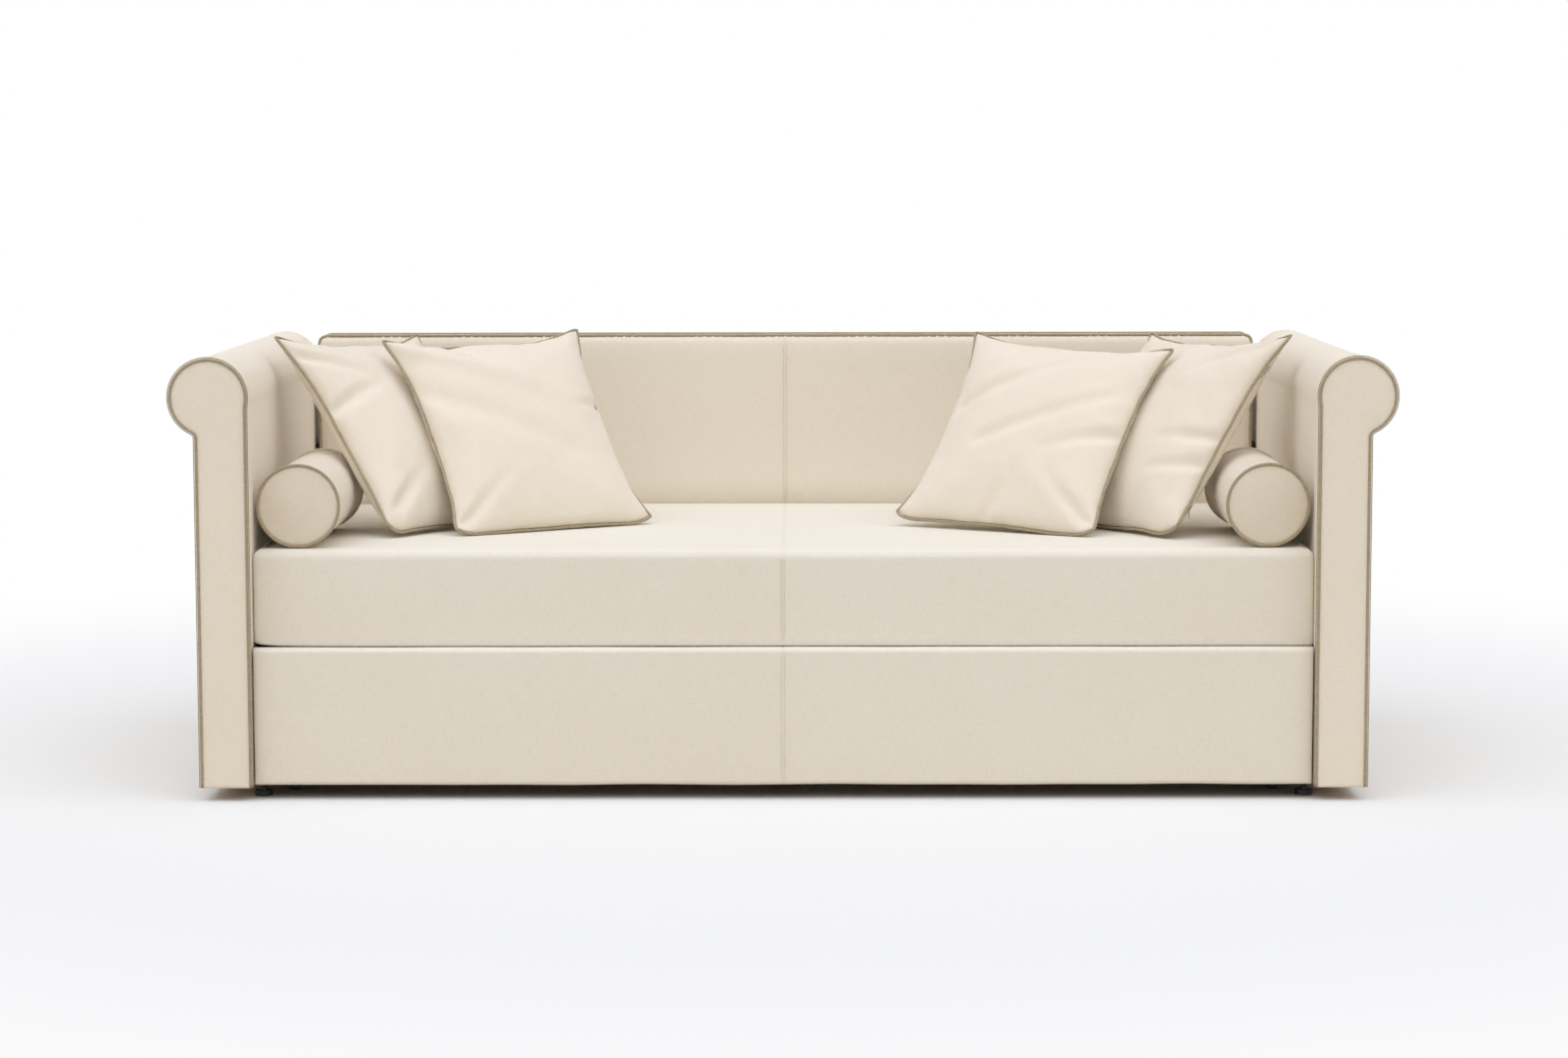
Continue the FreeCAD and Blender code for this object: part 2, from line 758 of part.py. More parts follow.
def castor_bracket(x, y):
    """A plate under the end rail with a cheek on each side of the wheel."""
    plate_bottom = lower_rail_bottom - castor_plate
    plate_half = fork_half + castor_cheek
    plate = block(x - plate_half, x + plate_half, y - castor_plate_length / 2, y + castor_plate_length / 2,
                  plate_bottom, lower_rail_bottom)
    cheeks = []
    for inner, outer in ((-plate_half, -fork_half), (fork_half, plate_half)):
        cheeks.append(block(x + inner, x + outer, y - castor_cheek_length / 2, y + castor_cheek_length / 2,
                            castor_radius - castor_cheek_drop, plate_bottom))
    return join([plate] + cheeks).cut(castor_axle(x, y))


def castor_axle(x, y):
    half = fork_half + castor_cheek + castor_axle_end
    return pin(vector(x - half, y, castor_radius), vector(1, 0, 0), castor_axle_radius, 2 * half)


def castor_wheel(x, y):
    """A plain tyred wheel with a bore that runs on its axle."""
    wheel = pin(vector(x - castor_width / 2, y, castor_radius), vector(1, 0, 0), castor_radius, castor_width)
    rims = [edge for edge in wheel.Edges if edge.BoundBox.XLength < 0.01]
    wheel = wheel.makeFillet(castor_edge_radius, rims)
    bore = pin(vector(x - castor_width, y, castor_radius), vector(1, 0, 0),
               castor_axle_radius + castor_running_clearance, 2 * castor_width)
    return wheel.cut(bore)


save("castor_brackets", group([castor_bracket(x, y) for x, y in castor_places.values()]))
save("castor_axles", group([castor_axle(x, y) for x, y in castor_places.values()]))
for place, (x, y) in castor_places.items():
    save("castor_wheel_" + place, castor_wheel(x, y))


# Scatter cushions: a crowned pad whose sides are drawn in between its corners
# Each level of the pad is an outline of four side arcs and four corner arcs
# The cushion's own axes are across X, through Y and up Z, with its seam in the XZ plane

def level_sizes(side, level):
    """Half the corner distance, half the middle distance and the corner radius at a level from 0 to 1."""
    half = side / 2
    corner = half * math.sqrt(1 - level)
    middle = half * math.sqrt(1 - level * level) - cushion_pull * (1 - level)
    radius = cushion_corner_radius * (1 - level) + crown_roundness * corner * level
    return corner, middle, radius


def level_marks(side, level):
    """Points on one quarter of a level's outline: side middle, side arc's end, corner tip."""
    corner, middle, radius = level_sizes(side, level)
    bulge = middle - corner
    side_radius = (corner * corner + bulge * bulge) / (2 * bulge)
    side_centre = middle - side_radius
    reach = side_radius - radius
    root = math.sqrt(2 * reach * reach - side_centre * side_centre)
    corner_centre = (side_centre + math.copysign(root, side_radius)) / 2
    share = side_radius / reach
    end = (corner_centre * share, side_centre + (corner_centre - side_centre) * share)
    tip = corner_centre + radius * math.sqrt(0.5)
    return middle, end, tip


def level_wire(side, level, depth):
    """The outline at one level as a closed wire, at the given depth through the cushion."""
    middle, end, tip = level_marks(side, level)
    marks = [(-end[0], end[1]), (0, middle), end, (tip, tip), (end[1], end[0])]
    edges = []
    for quarter in range(4):
        turn = FreeCAD.Rotation(vector(0, 1, 0), 90 * quarter)
        points = [turn.multVec(vector(x, depth, z)) for x, z in marks]
        edges.append(Part.Arc(points[0], points[1], points[2]).toShape())
        edges.append(Part.Arc(points[2], points[3], points[4]).toShape())
    return Part.Wire(edges)


def cushion_form(side, rise):
    """Front and back halves, each a loft through its levels, joined at the seam."""
    halves = []
    for facing in (-1, 1):
        wires = [level_wire(side, level, facing * rise * level) for level in cushion_levels]
        halves.append(Part.makeLoft(wires, True, False))
    return halves[0].fuse(halves[1])


def cushion_parts():
    """Cover, filling and piping of one cushion about its own centre."""
    wall = cushion_cover_thickness
    outside = cushion_form(cushion_side, cushion_rise)
    filling = cushion_form(cushion_side - 4 * wall, cushion_rise - wall)
    seam = level_wire(cushion_side + 2 * cushion_piping_stand, 0.0, 0.0)
    start = seam.Edges[0].Vertexes[0].Point
    direction = seam.Edges[0].tangentAt(seam.Edges[0].FirstParameter)
    ring = Part.Wire(Part.makeCircle(cushion_piping_radius, start, direction))
    piping = seam.makePipeShell([ring], True, False)
    return outside.cut(filling).cut(piping), filling, piping


# How the cushions lean: turn about Z, tilt about Y and lean about X in degrees, and a first place
# from the arm's inner face and the back panel, from which each is slid until it just touches

class Lean:
    """One cushion's attitude and its first place."""

    def __init__(self, name, side, turn, tilt, lean, from_arm, from_back):
        self.name = name
        self.side = side
        self.rotation = (FreeCAD.Rotation(vector(0, 0, 1), turn)
                         .multiply(FreeCAD.Rotation(vector(0, 1, 0), tilt))
                         .multiply(FreeCAD.Rotation(vector(1, 0, 0), lean)))
        self.centre = vector(side * (arm_inner - from_arm), back_front - from_back, seat_top)

    def to_world(self, point):
        return self.centre + self.rotation.multVec(point)

    def to_local(self, point):
        return self.rotation.inverted().multVec(point - self.centre)

    def surface(self):
        """Points on both faces, level by level, from the seam to the crown."""
        points = []
        for level in cushion_levels:
            middle, end, tip = level_marks(cushion_side, level)
            halfway = (end[0] / 2, (middle + end[1]) / 2)
            quarter = [(0, middle), halfway, end, (tip, tip), (end[1], end[0]), (halfway[1], halfway[0])]
            depth = cushion_rise * level
            for x, z in quarter:
                for turned_x, turned_z in ((x, z), (z, -x), (-x, -z), (-z, x)):
                    points.append(self.to_world(vector(turned_x, depth, turned_z)))
                    points.append(self.to_world(vector(turned_x, -depth, turned_z)))
        return points

    def rise_at(self, x, z):
        """Half the thickness over a point of the seam plane, or nothing outside the outline."""
        across = max(abs(x), abs(z))
        slope = min(abs(x), abs(z)) / max(across, soft_clearance)
        if self.reach_at(0.0, slope) < across:
            return None
        low, high = 0.0, 1.0
        while high - low > settle_tolerance / cushion_rise:
            level = (low + high) / 2
            if self.reach_at(level, slope) > across:
                low = level
            else:
                high = level
        return cushion_rise * low

    def reach_at(self, level, slope):
        """How far the outline of a level reaches across, towards a point at this slope."""
        middle, end, tip = level_marks(cushion_side, level)
        return middle + (tip - middle) * slope * slope


def set_down(cushion):
    """Lowers or lifts a cushion until its lowest point just clears the seat."""
    lowest = min(point.z for point in cushion.surface()) - cushion_rim
    cushion.centre.z += seat_top + soft_clearance - lowest


def clear_of_arm(cushion):
    """Slides a cushion towards the middle until it clears the arm, its scroll and the bolster."""
    margin = cushion_rim + soft_clearance
    bolster_reach = bolster_radius + cushion_piping_radius + margin
    for _ in range(settle_rounds):
        step = 0.0
        for point in cushion.surface():
            across = abs(point.x)
            if point.z < scroll_height:
                step = max(step, across + margin - arm_inner)
            step = max(step, scroll_radius + margin - math.hypot(across - scroll_x, point.z - scroll_height))
            if point.y < bolster_rear + margin and point.z < seat_top + 2 * bolster_radius:
                step = max(step, bolster_reach - math.hypot(across - bolster_x, point.z - bolster_z))
        if step <= 0.0:
            break
        cushion.centre.x -= cushion.side * step


def overlap(one, other):
    """How deep the points of one cushion lie inside another, measured through the other."""
    deepest = -cushion_side
    for point in one.surface():
        local = other.to_local(point)
        rise = other.rise_at(local.x, local.z)
        if rise is not None:
            deepest = max(deepest, rise - abs(local.y))
    return deepest


def rest_on(front, rear):
    """Slides the front cushion off the rear one, along the rear one's facing, until they just touch."""
    facing = rear.rotation.multVec(vector(0, -1, 0))
    level_facing = vector(facing.x, facing.y, 0).normalize()
    margin = cushion_rim + soft_clearance
    for _ in range(settle_rounds):
        depth = max(overlap(front, rear), overlap(rear, front)) + margin
        if abs(depth) < settle_tolerance:
            break
        front.centre = front.centre + level_facing * (depth * settle_step)


rear_left = Lean("rear_left", -1, 58.0, 2.0, -37.2, 237.0, 461.0)
front_left = Lean("front_left", -1, 33.7, -1.1, -36.6, 467.0, 450.0)
rear_right = Lean("rear_right", 1, -58.5, -1.9, -36.5, 247.0, 503.0)
front_right = Lean("front_right", 1, -31.2, 2.8, -40.2, 506.0, 478.0)

cushion_cover, cushion_filling, cushion_piping = cushion_parts()
fillings = []
for rear, front in ((rear_left, front_left), (rear_right, front_right)):
    set_down(rear)
    clear_of_arm(rear)
    set_down(front)
    rest_on(front, rear)
    for cushion in (rear, front):
        placement = FreeCAD.Placement(cushion.centre, cushion.rotation)
        for suffix, piece in (("cover", cushion_cover), ("piping", cushion_piping)):
            placed = piece.copy()
            placed.Placement = placement
            save("cushion_" + cushion.name + "_" + suffix, placed)
        filling = cushion_filling.copy()
        filling.Placement = placement
        fillings.append(filling)
save("cushion_fillings", group(fillings))


# Bolsters: a round pad with piped, slightly domed ends, laid along each arm

def bolster_form(radius, length, dome):
    """A turned pad about its own long axis, which runs from front to back, with spherical end domes."""
    half = length / 2
    sphere = (radius * radius + dome * dome) / (2 * dome)
    rise = math.sqrt(sphere * sphere - radius * radius / 4) - (sphere - dome)
    profile = [(0, -half - dome), (radius / 2, -half - rise), (radius, -half),
               (radius, half), (radius / 2, half + rise), (0, half + dome)]
    points = [vector(x, y, 0) for x, y in profile]
    edges = [
        Part.Arc(points[0], points[1], points[2]).toShape(),
        Part.LineSegment(points[2], points[3]).toShape(),
        Part.Arc(points[3], points[4], points[5]).toShape(),
        Part.LineSegment(points[5], points[0]).toShape(),
    ]
    return Part.Face(Part.Wire(edges)).revolve(vector(0, 0, 0), vector(0, 1, 0), 360)


def bolster_parts():
    wall = bolster_cover_thickness
    straight = bolster_length - 2 * bolster_dome
    outside = bolster_form(bolster_radius, straight, bolster_dome)
    core = bolster_form(bolster_radius - 2 * wall, straight - 2 * wall, bolster_dome)
    rings = []
    for end in (-straight / 2, straight / 2):
        rings.append(Part.makeTorus(bolster_radius, cushion_piping_radius, vector(0, end, 0), vector(0, 1, 0)))
    cover = outside.cut(core)
    for ring in rings:
        cover = cover.cut(ring)
    return {"cover": cover, "core": core, "piping": group(rings)}


for name, side in (("left", -1), ("right", 1)):
    middle = (bolster_front + bolster_rear) / 2
    for piece_name, piece in bolster_parts().items():
        placed = piece.copy()
        placed.Placement = FreeCAD.Placement(vector(side * bolster_x, middle, bolster_z), FreeCAD.Rotation())
        save("bolster_" + name + "_" + piece_name, placed)
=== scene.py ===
"""Looks of the daybed sofa with its pull-out bed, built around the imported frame.

Upholstery, piping, mattresses, cushions and bolsters are new meshes that stand for the frame's soft solids.
Timber, steel, slats, castors and feet keep their solids and get their finishes here. Lengths are in metres.
"""

import logging
import math
from dataclasses import dataclass, field
from enum import Enum
from typing import Callable, ClassVar, Iterable, Optional, Sequence

import bmesh
import bpy
from bmesh.types import BMEdge, BMesh, BMFace, BMVert
from mathutils import Matrix, Vector, noise
from mathutils.bvhtree import BVHTree
from mathutils.kdtree import KDTree


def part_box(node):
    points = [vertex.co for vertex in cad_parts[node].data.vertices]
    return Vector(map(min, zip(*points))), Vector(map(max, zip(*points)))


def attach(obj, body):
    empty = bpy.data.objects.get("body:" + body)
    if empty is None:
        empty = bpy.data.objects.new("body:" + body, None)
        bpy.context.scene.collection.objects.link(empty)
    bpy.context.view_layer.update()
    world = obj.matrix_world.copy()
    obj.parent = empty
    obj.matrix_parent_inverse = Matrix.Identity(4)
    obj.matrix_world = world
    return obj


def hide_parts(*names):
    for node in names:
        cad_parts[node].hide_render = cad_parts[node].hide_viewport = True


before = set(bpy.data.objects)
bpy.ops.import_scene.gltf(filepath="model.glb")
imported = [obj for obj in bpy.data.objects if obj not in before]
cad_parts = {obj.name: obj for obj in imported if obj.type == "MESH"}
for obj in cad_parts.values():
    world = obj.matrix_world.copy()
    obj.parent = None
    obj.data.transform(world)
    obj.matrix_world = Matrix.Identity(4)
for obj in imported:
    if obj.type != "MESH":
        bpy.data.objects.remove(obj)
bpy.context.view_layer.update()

log = logging.getLogger("daybed")

WEAVE = "weave"
SEAM_SHADE = "seam_shade"
MM = 0.001


class Side(Enum):
    """The two ends of the sofa, as seen by someone who looks at its front."""

    LEFT = -1
    RIGHT = 1

    @property
    def word(self) -> str:
        """The side's word in node names."""
        return self.name.lower()


class Depth(Enum):
    """Where a scatter cushion stands in its pair."""

    FRONT = "front"
    REAR = "rear"


# Finishes

def tone(red: float, green: float, blue: float) -> tuple[float, float, float, float]:
    """A display colour, 0 to 255 each, as linear light with full cover.

    Args:
        red: Red part.
        green: Green part.
        blue: Blue part.

    Returns:
        The four numbers that a colour socket takes.
    """
    def linear(value: float) -> float:
        """One part of the colour as linear light."""
        share = value / 255
        return share / 12.92 if share <= 0.04045 else ((share + 0.055) / 1.055) ** 2.4

    return linear(red), linear(green), linear(blue), 1.0


class NodeBoard:
    """A material's or world's node tree, with short calls that add and join nodes."""

    def __init__(self, tree: bpy.types.NodeTree) -> None:
        """Keeps the tree that the calls work on."""
        self.tree = tree

    def add(self, kind: str, settings: Optional[dict] = None, **inputs: object) -> bpy.types.Node:
        """Adds a node.

        Args:
            kind: The node's type without its ShaderNode prefix.
            settings: Properties of the node itself.
            **inputs: Values or output sockets by input name, where an underscore stands for a space.

        Returns:
            The new node.
        """
        node = self.tree.nodes.new("ShaderNode" + kind)
        for name, value in (settings or {}).items():
            setattr(node, name, value)
        for name, value in inputs.items():
            self.plug(value, node.inputs[name.replace("_", " ")])
        return node

    def plug(self, value: object, socket: bpy.types.NodeSocket) -> None:
        """Joins an output to the socket, or sets the socket's own value.

        Args:
            value: An output socket, or the value itself.
            socket: The input socket.
        """
        if isinstance(value, bpy.types.NodeSocket):
            self.tree.links.new(value, socket)
        else:
            socket.default_value = value

    def sum(self, operation: str, *values: object) -> bpy.types.NodeSocket:
        """The result of a Math node.

        Args:
            operation: The node's operation, such as ADD.
            *values: Its numbers or sockets in order.

        Returns:
            The output socket.
        """
        node = self.tree.nodes.new("ShaderNodeMath")
        node.operation = operation
        for socket, value in zip(node.inputs, values):
            self.plug(value, socket)
        return node.outputs[0]

    def blend(self, share: object, first: object, second: object) -> bpy.types.NodeSocket:
        """A colour between two colours.

        Args:
            share: The second colour's share, from 0 to 1.
            first: The first colour.
            second: The second colour.

        Returns:
            The output socket.
        """
        node = self.tree.nodes.new("ShaderNodeMix")
        node.data_type = "RGBA"
        for index, value in ((0, share), (6, first), (7, second)):
            self.plug(value, node.inputs[index])
        return node.outputs[2]

    def held(self, value: bpy.types.NodeSocket) -> bpy.types.NodeSocket:
        """The value, kept between 0 and 1."""
        return self.add("Clamp", Value=value).outputs[0]

    def mix_shaders(self, share: bpy.types.NodeSocket, first: bpy.types.Node,
                    second: bpy.types.Node) -> bpy.types.Node:
        """One shader that gives way to another.

        Args:
            share: The second shader's share, from 0 to 1.
            first: The first shader.
            second: The second shader.

        Returns:
            The mixing node.
        """
        mixed = self.add("MixShader", Fac=share)
        self.plug(first.outputs[0], mixed.inputs[1])
        self.plug(second.outputs[0], mixed.inputs[2])
        return mixed

    def backdrop_rays(self) -> bpy.types.NodeSocket:
        """Tells rays that show the backdrop from rays that carry light to the object.

        Returns:
            1 for what the camera, metal and glass see, and 0 for the rest.
        """
        path = self.add("LightPath")
        looks = self.sum("MAXIMUM", path.outputs["Is Camera Ray"], path.outputs["Is Glossy Ray"])
        return self.sum("MAXIMUM", looks, path.outputs["Is Transmission Ray"])

    def grain(self, source: bpy.types.NodeSocket, scale: Sequence[float], detail: float = 2.0,
              turn: float = 0.0) -> bpy.types.NodeSocket:
        """Noise that is stretched by a different scale each way.

        Args:
            source: Coordinates in metres.
            scale: Noise cells per metre along X, Y and Z.
            detail: Octaves of finer noise.
            turn: Turn of the coordinates about Z, in radians.

        Returns:
            The noise value, around a half.
        """
        mapping = self.add("Mapping", Vector=source, Scale=tuple(scale), Rotation=(0.0, 0.0, turn))
        texture = self.add("TexNoise", Vector=mapping.outputs[0], Scale=1.0, Detail=detail, Roughness=0.55)
        return texture.outputs[0]


@dataclass(frozen=True)
class Finish:
    """A material of the object, made once and shared by every piece that has it."""

    name: str
    colour: tuple[float, float, float, float]
    shade: tuple[float, float, float, float]
    roughness: float = 0.6

    made: ClassVar[dict[str, bpy.types.Material]] = {}

    def material(self) -> bpy.types.Material:
        """The finish as a Blender material.

        Returns:
            The material, built at the first call.
        """
        if self.name not in Finish.made:
            material = bpy.data.materials.new(self.name)
            material.use_nodes = True
            board = NodeBoard(material.node_tree)
            surface = material.node_tree.nodes["Principled BSDF"]
            surface.inputs["Roughness"].default_value = self.roughness
            self.paint(board, surface)
            material.diffuse_color = self.colour
            Finish.made[self.name] = material
        return Finish.made[self.name]

    def paint(self, board: NodeBoard, surface: bpy.types.Node) -> None:
        """Joins the finish's own nodes to the surface shader."""
        raise NotImplementedError

    def tint(self, board: NodeBoard, surface: bpy.types.Node, share: bpy.types.NodeSocket) -> None:
        """Colours the surface between the finish's shade and its colour.

        Args:
            board: The material's nodes.
            surface: Its surface shader.
            share: The colour's share, cut off at 0 and 1.
        """
        board.plug(board.blend(board.held(share), self.shade, self.colour), surface.inputs["Base Color"])


@dataclass(frozen=True)
class WovenCloth(Finish):
    """Plain-woven cotton and linen with uneven threads, its pattern on the piece's own weave map."""

    roughness: float = 0.88
    thread: float = 0.0011
    slub: float = 0.9
    cloud: float = 0.45
    relief: float = 0.55
    sheen: float = 0.18
    bias: float = 0.0
    slub_along: tuple[float, float, float] = (55.0, 900.0, 1.0)
    slub_across: tuple[float, float, float] = (820.0, 48.0, 1.0)
    cloud_scale: float = 2.6
    crease_scale: float = 34.0
    crease: float = 0.35
    crossing_light: float = 0.10
    # How far painted shade darkens the cloth in the grooves beside its seams.
    painted_seam_shade: float = 0.4
    thread_relief: float = 0.45 * MM
    crease_relief: float = 1.1 * MM
    fuzz: float = 0.55
    gloss: float = 0.22

    def paint(self, board: NodeBoard, surface: bpy.types.Node) -> None:
        """Threads, slubs, soft clouds of colour and painted shade beside the seams.

        Args:
            board: The material's nodes.
            surface: Its surface shader.
        """
        weave = board.add("UVMap", {"uv_map": WEAVE}).outputs[0]
        solid = board.add("TexCoord").outputs["Object"]
        turned = board.add("Mapping", Vector=weave, Rotation=(0.0, 0.0, self.bias)).outputs[0]
        parts = board.add("SeparateXYZ", Vector=turned)
        per_thread = math.pi / self.thread
        warp = board.sum("SINE", board.sum("MULTIPLY", parts.outputs[0], per_thread))
        weft = board.sum("SINE", board.sum("MULTIPLY", parts.outputs[1], per_thread))
        crossing = board.sum("MULTIPLY", warp, weft)
        along = board.grain(turned, self.slub_along)
        across = board.grain(turned, self.slub_across)
        slubs = board.sum("ADD", along, across)
        clouds = board.grain(solid, (self.cloud_scale,) * 3, 3.0)
        seam = board.add("Attribute", {"attribute_name": SEAM_SHADE}).outputs["Fac"]
        light = board.sum("MULTIPLY_ADD", board.sum("SUBTRACT", slubs, 1.0), self.slub, 0.5)
        light = board.sum("MULTIPLY_ADD", board.sum("SUBTRACT", clouds, 0.5), self.cloud, light)
        light = board.sum("MULTIPLY_ADD", crossing, self.crossing_light, light)
        # Darkens the colour beside every seam by the seam_shade mask: painted shade in the seams' grooves.
        self.tint(board, surface, board.sum("MULTIPLY_ADD", seam, -self.painted_seam_shade, light))
        height = board.sum("MULTIPLY_ADD", crossing, 0.5, board.sum("MULTIPLY", slubs, 1.2))
        threads = board.add("Bump", Height=height, Strength=self.relief, Distance=self.thread_relief)
        soft = board.grain(solid, (self.crease_scale,) * 3, 3.0)
        folds = board.add("Bump", Height=soft, Strength=self.crease, Distance=self.crease_relief,
                          Normal=threads.outputs[0])
        board.plug(folds.outputs[0], surface.inputs["Normal"])
        board.plug(self.sheen, surface.inputs["Sheen Weight"])
        board.plug(self.fuzz, surface.inputs["Sheen Roughness"])
        board.plug(self.gloss, surface.inputs["Specular IOR Level"])


@dataclass(frozen=True)
class Timber(Finish):
    """Planed wood with its grain along one axis of the object."""

    roughness: float = 0.55
    along: int = 1
    ring: float = 55.0
    fibre: float = 900.0
    ring_along: float = 2.2
    fibre_along: float = 14.0

    def paint(self, board: NodeBoard, surface: bpy.types.Node) -> None:
        """Growth bands, fibres and a few darker streaks.

        Args:
            board: The material's nodes.
            surface: Its surface shader.
        """
        solid = board.add("TexCoord").outputs["Object"]
        ring = [self.ring] * 3
        fibre = [self.fibre] * 3
        ring[self.along] = self.ring_along
        fibre[self.along] = self.fibre_along
        bands = board.grain(solid, ring, 3.0)
        fibres = board.grain(solid, fibre, 2.0)
        share = board.sum("MULTIPLY_ADD", fibres, 0.5, board.sum("MULTIPLY_ADD", bands, 1.6, -0.55))
        self.tint(board, surface, share)
        height = board.sum("ADD", fibres, board.sum("MULTIPLY", bands, 0.6))
        bump = board.add("Bump", Height=height, Strength=0.4, Distance=0.0004)
        board.plug(bump.outputs[0], surface.inputs["Normal"])
        gloss = board.sum("MULTIPLY_ADD", fibres, 0.3, self.roughness - 0.15)
        board.plug(gloss, surface.inputs["Roughness"])


@dataclass(frozen=True)
class HardFinish(Finish):
    """Metal, powder coat, plastic or rubber with a fine surface and rubbed, paler patches."""

    metal: float = 0.0
    speckle: float = 900.0
    patch: float = 24.0
    relief: float = 0.25
    coat: float = 0.0

    def paint(self, board: NodeBoard, surface: bpy.types.Node) -> None:
        """A fine speckle, rubbed patches and an uneven gloss.

        Args:
            board: The material's nodes.
            surface: Its surface shader.
        """
        solid = board.add("TexCoord").outputs["Object"]
        fine = board.grain(solid, (self.speckle,) * 3, 2.0)
        patches = board.grain(solid, (self.patch,) * 3, 4.0)
        share = board.sum("MULTIPLY_ADD", fine, 0.5, board.sum("MULTIPLY_ADD", patches, 1.4, -0.45))
        self.tint(board, surface, share)
        bump = board.add("Bump", Height=fine, Strength=self.relief, Distance=0.0002)
        board.plug(bump.outputs[0], surface.inputs["Normal"])
        gloss = board.sum("MULTIPLY_ADD", patches, 0.24, self.roughness - 0.12)
        board.plug(gloss, surface.inputs["Roughness"])
        board.plug(self.metal, surface.inputs["Metallic"])
        board.plug(self.coat, surface.inputs["Coat Weight"])


UPHOLSTERY = WovenCloth("ivory upholstery cloth", tone(248, 240, 225), tone(234, 222, 203))
BED_CLOTH = WovenCloth("ivory mattress cloth", tone(244, 239, 227), tone(230, 221, 205), thread=0.0013)
CUSHION_CLOTH = WovenCloth("soft ivory cushion cloth", tone(244, 235, 220), tone(229, 216, 197),
                           sheen=0.28, relief=0.45, slub=0.7)
BOLSTER_CLOTH = WovenCloth("ivory bolster cloth", tone(239, 229, 212), tone(224, 210, 190), sheen=0.22)
PIPING_CLOTH = WovenCloth("taupe piping cloth", tone(190, 176, 148), tone(150, 136, 110),
                          thread=0.0008, slub=1.2, bias=0.785, relief=0.8, sheen=0.12)
THREAD = WovenCloth("ivory sewing thread", tone(226, 214, 192), tone(196, 182, 156),
                    sheen=0.1, thread=0.0006)
FRAME_TIMBER = Timber("planed spruce", tone(214, 178, 128), tone(168, 124, 78))
STAINED_TIMBER = Timber("black stained spruce", tone(52, 47, 42), tone(30, 27, 24), roughness=0.7)
BOARD_TIMBER = Timber("birch plywood", tone(218, 188, 142), tone(180, 143, 98), along=0, ring=40.0)
SLAT_BIRCH = Timber("pressed birch slat", tone(222, 190, 146), tone(188, 150, 104),
                    ring=90.0, roughness=0.42)
BLACK_STEEL = HardFinish("black powder coat", tone(34, 34, 36), tone(20, 20, 22),
                         roughness=0.46, relief=0.5)
ZINC_STEEL = HardFinish("zinc plated steel", tone(188, 190, 194), tone(140, 143, 150),
                        roughness=0.34, metal=1.0, patch=60.0)
BLACK_PLASTIC = HardFinish("moulded black plastic", tone(38, 38, 40), tone(22, 22, 24), roughness=0.5)
BUFFER_RUBBER = HardFinish("buffer rubber", tone(48, 46, 44), tone(30, 29, 28),
                           roughness=0.82, speckle=500.0)
TYRE_RUBBER = HardFinish("grey castor tyre", tone(104, 105, 108), tone(78, 79, 82), roughness=0.72)


# Mesh helpers

def of_kind(items: Iterable[object], kind: type) -> list:
    """The items of one kind among those that an operator made."""
    return [item for item in items if isinstance(item, kind)]


def edges_of(verts: Iterable[BMVert]) -> list[BMEdge]:
    """The edges that touch some vertices, each once and always in the same order."""
    return list(dict.fromkeys(edge for vert in verts for edge in vert.link_edges))


def next_ring(shape: BMesh, edges: Sequence[BMEdge]) -> tuple[list[BMVert], list[BMEdge], list[BMFace]]:
    """Extrudes a ring of edges once, without moving it.

    Args:
        shape: The form.
        edges: The ring's edges.

    Returns:
        The new ring's vertices and edges, and the faces between the two rings.
    """
    made = bmesh.ops.extrude_edge_only(shape, edges=edges)["geom"]
    ring = of_kind(made, BMVert)
    onward = [edge for edge in of_kind(made, BMEdge) if all(vert in ring for vert in edge.verts)]
    return ring, onward, of_kind(made, BMFace)


def round_off(shape: BMesh, edges: Sequence[BMEdge], radius: float, segments: int) -> None:
    """Rounds edges off.

    Args:
        shape: The form.
        edges: The edges.
        radius: The rounding's radius.
        segments: Its steps.
    """
    bmesh.ops.bevel(shape, geom=edges, offset=radius, segments=segments, profile=0.5, affect="EDGES",
                    material=-1)


def search_tree(points: Iterable[Sequence[float]]) -> KDTree:
    """A tree that finds the nearest of some points.

    Args:
        points: The points.

    Returns:
        The tree, with each point's place in their order.
    """
    places = list(points)
    tree = KDTree(len(places))
    for index, place in enumerate(places):
        tree.insert(place, index)
    tree.balance()
    return tree


def cut_across(shape: BMesh, axis: int, place: float) -> None:
    """Cuts a form by a plane square to an axis.

    Args:
        shape: The form.
        axis: 0, 1 or 2 for X, Y or Z.
        place: Where on that axis.
    """
    normal = Vector((0.0, 0.0, 0.0))
    normal[axis] = 1.0
    everything = list(shape.verts) + list(shape.edges) + list(shape.faces)
    bmesh.ops.bisect_plane(shape, geom=everything, dist=0.4 * MM, plane_co=normal * place, plane_no=normal)


def cut_grid(shape: BMesh, steps: Sequence[float]) -> None:
    """Cuts a form into even cells.

    Args:
        shape: The form.
        steps: The cells' size along X, Y and Z.
    """
    for axis, step in enumerate(steps):
        low = min(vert.co[axis] for vert in shape.verts)
        high = max(vert.co[axis] for vert in shape.verts)
        count = max(1, round((high - low) / step))
        for index in range(1, count):
            cut_across(shape, axis, low + (high - low) * index / count)


def facing(shape: BMesh, direction: Sequence[float]) -> list[BMFace]:
    """The flat faces whose normal points in a direction."""
    wanted = Vector(direction)
    return [face for face in shape.faces if face.normal.dot(wanted) > 0.999]


